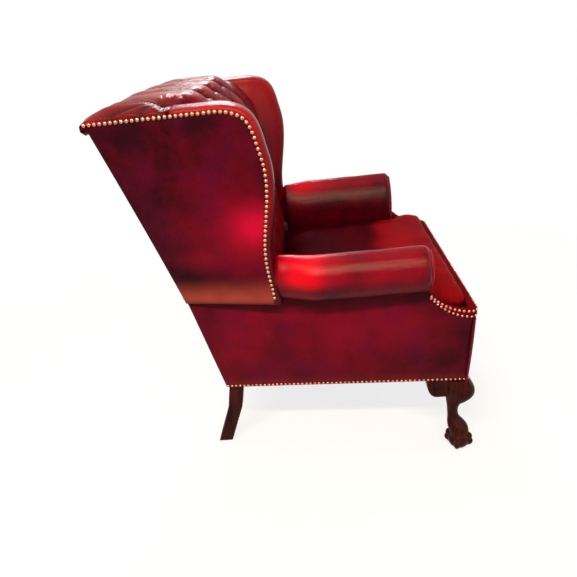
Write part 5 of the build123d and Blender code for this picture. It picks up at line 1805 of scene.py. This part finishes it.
class ChairSizes(bpy.types.PropertyGroup):
    """Sizes of the upholstery."""

    panel_thick: distance("Panel thickness", "Covered boards in the sides", 0.008)
    panel_crown: distance("Panel crown", "Swell of the covered boards", 0.003)
    edge_round: distance("Edge round", "Round of the covered boards' edges", 0.005)
    corner_round: distance("Corner round", "Round of the body's front corners", 0.012)
    lip_round: distance("Lip corner", "Round of the lip's front corners", 0.02)
    lip_depth: distance("Lip depth", "How far the lip reaches under the cushion", 0.02)
    lip_start_y: distance("Lip start", "Depth where the lip leaves the arm", -0.318)
    lip_bend_y: distance("Lip bend", "Depth of the lip's bend", -0.352)
    lip_start_low: distance("Lip start height", "Lower edge at the arm", 0.499)
    lip_bend_low: distance("Lip bend height", "Lower edge at the bend", 0.464)
    lip_bend_high: distance("Lip bend top", "Upper edge at the bend", 0.483)
    lip_front_top: distance("Lip front top", "Upper edge across the front", 0.460)
    roll_x: distance("Roll middle", "Half width to the arm roll's middle", 0.335)
    roll_outer: distance("Roll outside", "Half width to the arm roll's outside", 0.392)
    roll_z: distance("Roll height", "Height of the arm roll's middle", 0.583)
    roll_under_z: distance("Roll underside", "Height of the arm roll's underside", 0.526)
    neck_x: distance("Neck middle", "Roll's middle where it meets the wing", 0.312)
    neck_outer: distance("Neck outside", "Roll's outside where it meets the wing", 0.357)
    arm_blend_y: distance("Neck start", "Depth where the roll starts to narrow", -0.04)
    arm_inside_thick: distance("Arm inside", "Thickness of the arm's inside pad", 0.026)
    arm_rear_round: distance("Arm rear round", "Round of the arm where it meets the wing", 0.012)
    arm_round: distance("Arm front round", "Round of the arm's front edge", 0.014)
    wing_roll: distance("Wing roll", "How far the wing rolls past its nails", 0.020)
    wing_lean: distance("Wing lean", "How far the inside leans outwards at its edge", 0.009)
    wing_flare: distance("Wing flare", "How far the wing's inside opens", 0.034)
    wing_flare_y: distance("Flare start", "Depth where the flare starts", 0.150)
    nail_foot_y: distance("Nail line foot", "Depth of the nail line at its foot", 0.075)
    nail_foot_z: distance("Lowest wing nail", "Height of the lowest wing nail", 0.545)
    nail_waist_y: distance("Nail waist depth", "Depth of the nail line's waist", 0.084)
    nail_waist_z: distance("Nail waist height", "Height of the nail line's waist", 0.640)
    nail_swell_y: distance("Nail swell depth", "Depth of the nail line's swell", 0.0645)
    nail_swell_z: distance("Nail swell height", "Height of the nail line's swell", 0.905)
    nail_corner_y: distance("Nail corner depth", "Depth of the nail line's corner", 0.0935)
    nail_corner_z: distance("Nail corner height", "Height of the nail line's corner", 0.987)
    nail_top_y: distance("Nail top start", "Depth where the nail line runs level", 0.150)
    nail_pitch: distance("Nail pitch", "Distance between nails", 0.0122)
    nail_radius: distance("Nail radius", "Radius of a wing nail's head", 0.0046)
    small_nail_radius: distance("Small nail radius", "Radius of a nail's head elsewhere", 0.0037)
    nail_rise: FloatProperty(name="Nail rise", description="Dome height over its radius", default=0.66)
    nail_foot_gap: distance("Foot nails", "Height of the lowest nails over the body's foot", 0.0065)
    crest_front_y: distance("Crest front", "Depth where the crest's roll starts", 0.240)
    crest_edge_z: distance("Crest edge", "Height of the crest's rear edge", 1.000)
    crest_end_round: distance("Crest end", "Round of the crest's ends", 0.055)
    end_tuck_x: distance("End tuck", "Half width of the tuck at the crest's end", 0.285)
    end_tuck_y: distance("End tuck depth", "Depth of the tuck at the crest's end", 0.272)
    button_pitch: distance("Button pitch", "Distance between buttons in a row", 0.128)
    button_radius: distance("Button radius", "Radius of a covered button", 0.0105)
    button_height: distance("Button height", "Height of a covered button", 0.005)
    diamond_half: distance("Diamond half", "From a diamond's middle to its pleats", 0.050)
    diamond_swell: distance("Diamond swell", "How far diamonds stand proud", 0.004)
    pleat_depth: distance("Pleat depth", "Depth of the pleats", 0.016)
    pit_depth: distance("Button depth", "Depth of the buttons", 0.029)
    tuck_gather: distance("Tuck gathers", "Height of the gathers round the end tucks", 0.0022)
    gather_height: distance("Gathers", "Height of the gathers round a button", 0.0012)
    back_shell: distance("Back stuffing", "Thickness of the back's stuffing", 0.040)
    ball_radius: distance("Ball radius", "Radius of the ball in a claw foot", 0.0305)
    ball_x: distance("Ball side", "Half width to the balls' middles", 0.343)
    ball_y: distance("Ball depth", "Depth of the balls' middles", -0.408)
    ball_foot: distance("Ball foot", "Height of the ball's flat over the floor", 0.003)
    claw_radius: distance("Claw radius", "Half thickness of a claw", 0.0066)
    cushion_puff: distance("Cushion swell", "How far the cushion swells", 0.007)


class ChairColours(bpy.types.PropertyGroup):
    """Colours and lamp levels."""

    # Deep dye is the leather in full painted shade; the other leather dyes are it in full painted light
    leather_deep: colour("Deep dye", "Darkest leather", (0.016, 0.0004, 0.0028))
    leather_bright: colour("Bright dye", "Rubbed leather", (0.34, 0.0015, 0.025))
    leather_arm: colour("Arm dye", "Rubbed leather of the arms", (0.48, 0.0008, 0.0085))
    leather_warm: colour("Warm dye", "Rubbed leather of the inside", (0.25, 0.005, 0.007))
    nail: colour("Nail brass", "Nail heads", (0.62, 0.27, 0.18))
    lamp_power: FloatProperty(name="Lamp", description="Warm strip lamp", default=118.0, unit="POWER")
    window_power: FloatProperty(name="Window", description="Cool window light", default=70.0, unit="POWER")
    fill_power: FloatProperty(name="Fill", description="Soft fill lights", default=20.0, unit="POWER")
    sky_fill: FloatProperty(name="Sky", description="Light from all around", default=0.15)


class Step:
    """Runs the functions that a step lists."""

    def execute(self, context):
        for build in self.builds:
            build()
        return {"FINISHED"}


class CHAIR_OT_finishes(Step, bpy.types.Operator):
    """Make the leather, wood, cloth and metal finishes"""

    bl_idname = "chair.finishes"
    bl_label = "Finishes"
    builds = (make_finishes,)


class CHAIR_OT_side_panels(Step, bpy.types.Operator):
    """Cover the outsides of the arms and the wings"""

    bl_idname = "chair.side_panels"
    bl_label = "Side Panels"
    builds = (build_side_panels,)


class CHAIR_OT_outside_back(Step, bpy.types.Operator):
    """Cover the outside of the back"""

    bl_idname = "chair.outside_back"
    bl_label = "Outside Back"
    builds = (build_outside_back,)


class CHAIR_OT_front(Step, bpy.types.Operator):
    """Cover the front border and the seat lip"""

    bl_idname = "chair.front"
    bl_label = "Front Border and Lip"
    builds = (build_front, build_lip)


class CHAIR_OT_arms(Step, bpy.types.Operator):
    """Stuff and cover the arms and their facings"""

    bl_idname = "chair.arms"
    bl_label = "Arms"
    builds = (build_arms,)


class CHAIR_OT_wings(Step, bpy.types.Operator):
    """Stuff and cover the wings"""

    bl_idname = "chair.wings"
    bl_label = "Wings"
    builds = (build_wings,)


class CHAIR_OT_buttoned_back(Step, bpy.types.Operator):
    """Stuff, button and cover the inside back and its crest"""

    bl_idname = "chair.buttoned_back"
    bl_label = "Buttoned Back"
    builds = (build_back,)


class CHAIR_OT_seat(Step, bpy.types.Operator):
    """Make the loose cushion, the platform and the dust cover"""

    bl_idname = "chair.seat"
    bl_label = "Seat"
    builds = (build_cushion, build_deck, build_dust_cover)


class CHAIR_OT_nails(Step, bpy.types.Operator):
    """Drive the domed nails"""

    bl_idname = "chair.nails"
    bl_label = "Nails"
    builds = (build_nails,)


class CHAIR_OT_woodwork(Step, bpy.types.Operator):
    """Carve the legs and finish the frame"""

    bl_idname = "chair.woodwork"
    bl_label = "Woodwork"
    builds = (build_legs, build_woodwork)


class CHAIR_OT_stage(Step, bpy.types.Operator):
    """Set up the floor, the lights and the camera"""

    bl_idname = "chair.stage"
    bl_label = "Stage"
    builds = (build_stage,)


class CHAIR_PT_panel(bpy.types.Panel):
    """Lists the chair's sizes and steps"""

    bl_idname = "CHAIR_PT_panel"
    bl_label = "Wingback Chair"
    bl_space_type = "VIEW_3D"
    bl_region_type = "UI"
    bl_category = "Chair"

    def draw(self, context):
        layout = self.layout
        for operator in operators:
            layout.operator(operator.bl_idname)
        for group in (context.scene.chair_sizes, context.scene.chair_colours):
            box = layout.box()
            for label in group.__annotations__:
                box.prop(group, label)


operators = (
    CHAIR_OT_finishes,
    CHAIR_OT_side_panels,
    CHAIR_OT_outside_back,
    CHAIR_OT_front,
    CHAIR_OT_arms,
    CHAIR_OT_wings,
    CHAIR_OT_buttoned_back,
    CHAIR_OT_seat,
    CHAIR_OT_nails,
    CHAIR_OT_woodwork,
    CHAIR_OT_stage,
)
classes = (ChairSizes, ChairColours, *operators, CHAIR_PT_panel)


def register():
    for cls in classes:
        bpy.utils.register_class(cls)
    bpy.types.Scene.chair_sizes = PointerProperty(type=ChairSizes)
    bpy.types.Scene.chair_colours = PointerProperty(type=ChairColours)


def unregister():
    del bpy.types.Scene.chair_sizes
    del bpy.types.Scene.chair_colours
    for cls in reversed(classes):
        bpy.utils.unregister_class(cls)


def main():
    register()
    bpy.ops.chair.finishes()
    bpy.ops.chair.side_panels()
    bpy.ops.chair.outside_back()
    bpy.ops.chair.front()
    bpy.ops.chair.arms()
    bpy.ops.chair.wings()
    bpy.ops.chair.buttoned_back()
    bpy.ops.chair.seat()
    bpy.ops.chair.nails()
    bpy.ops.chair.woodwork()
    bpy.ops.chair.stage()


if __name__ == "__main__":
    main()
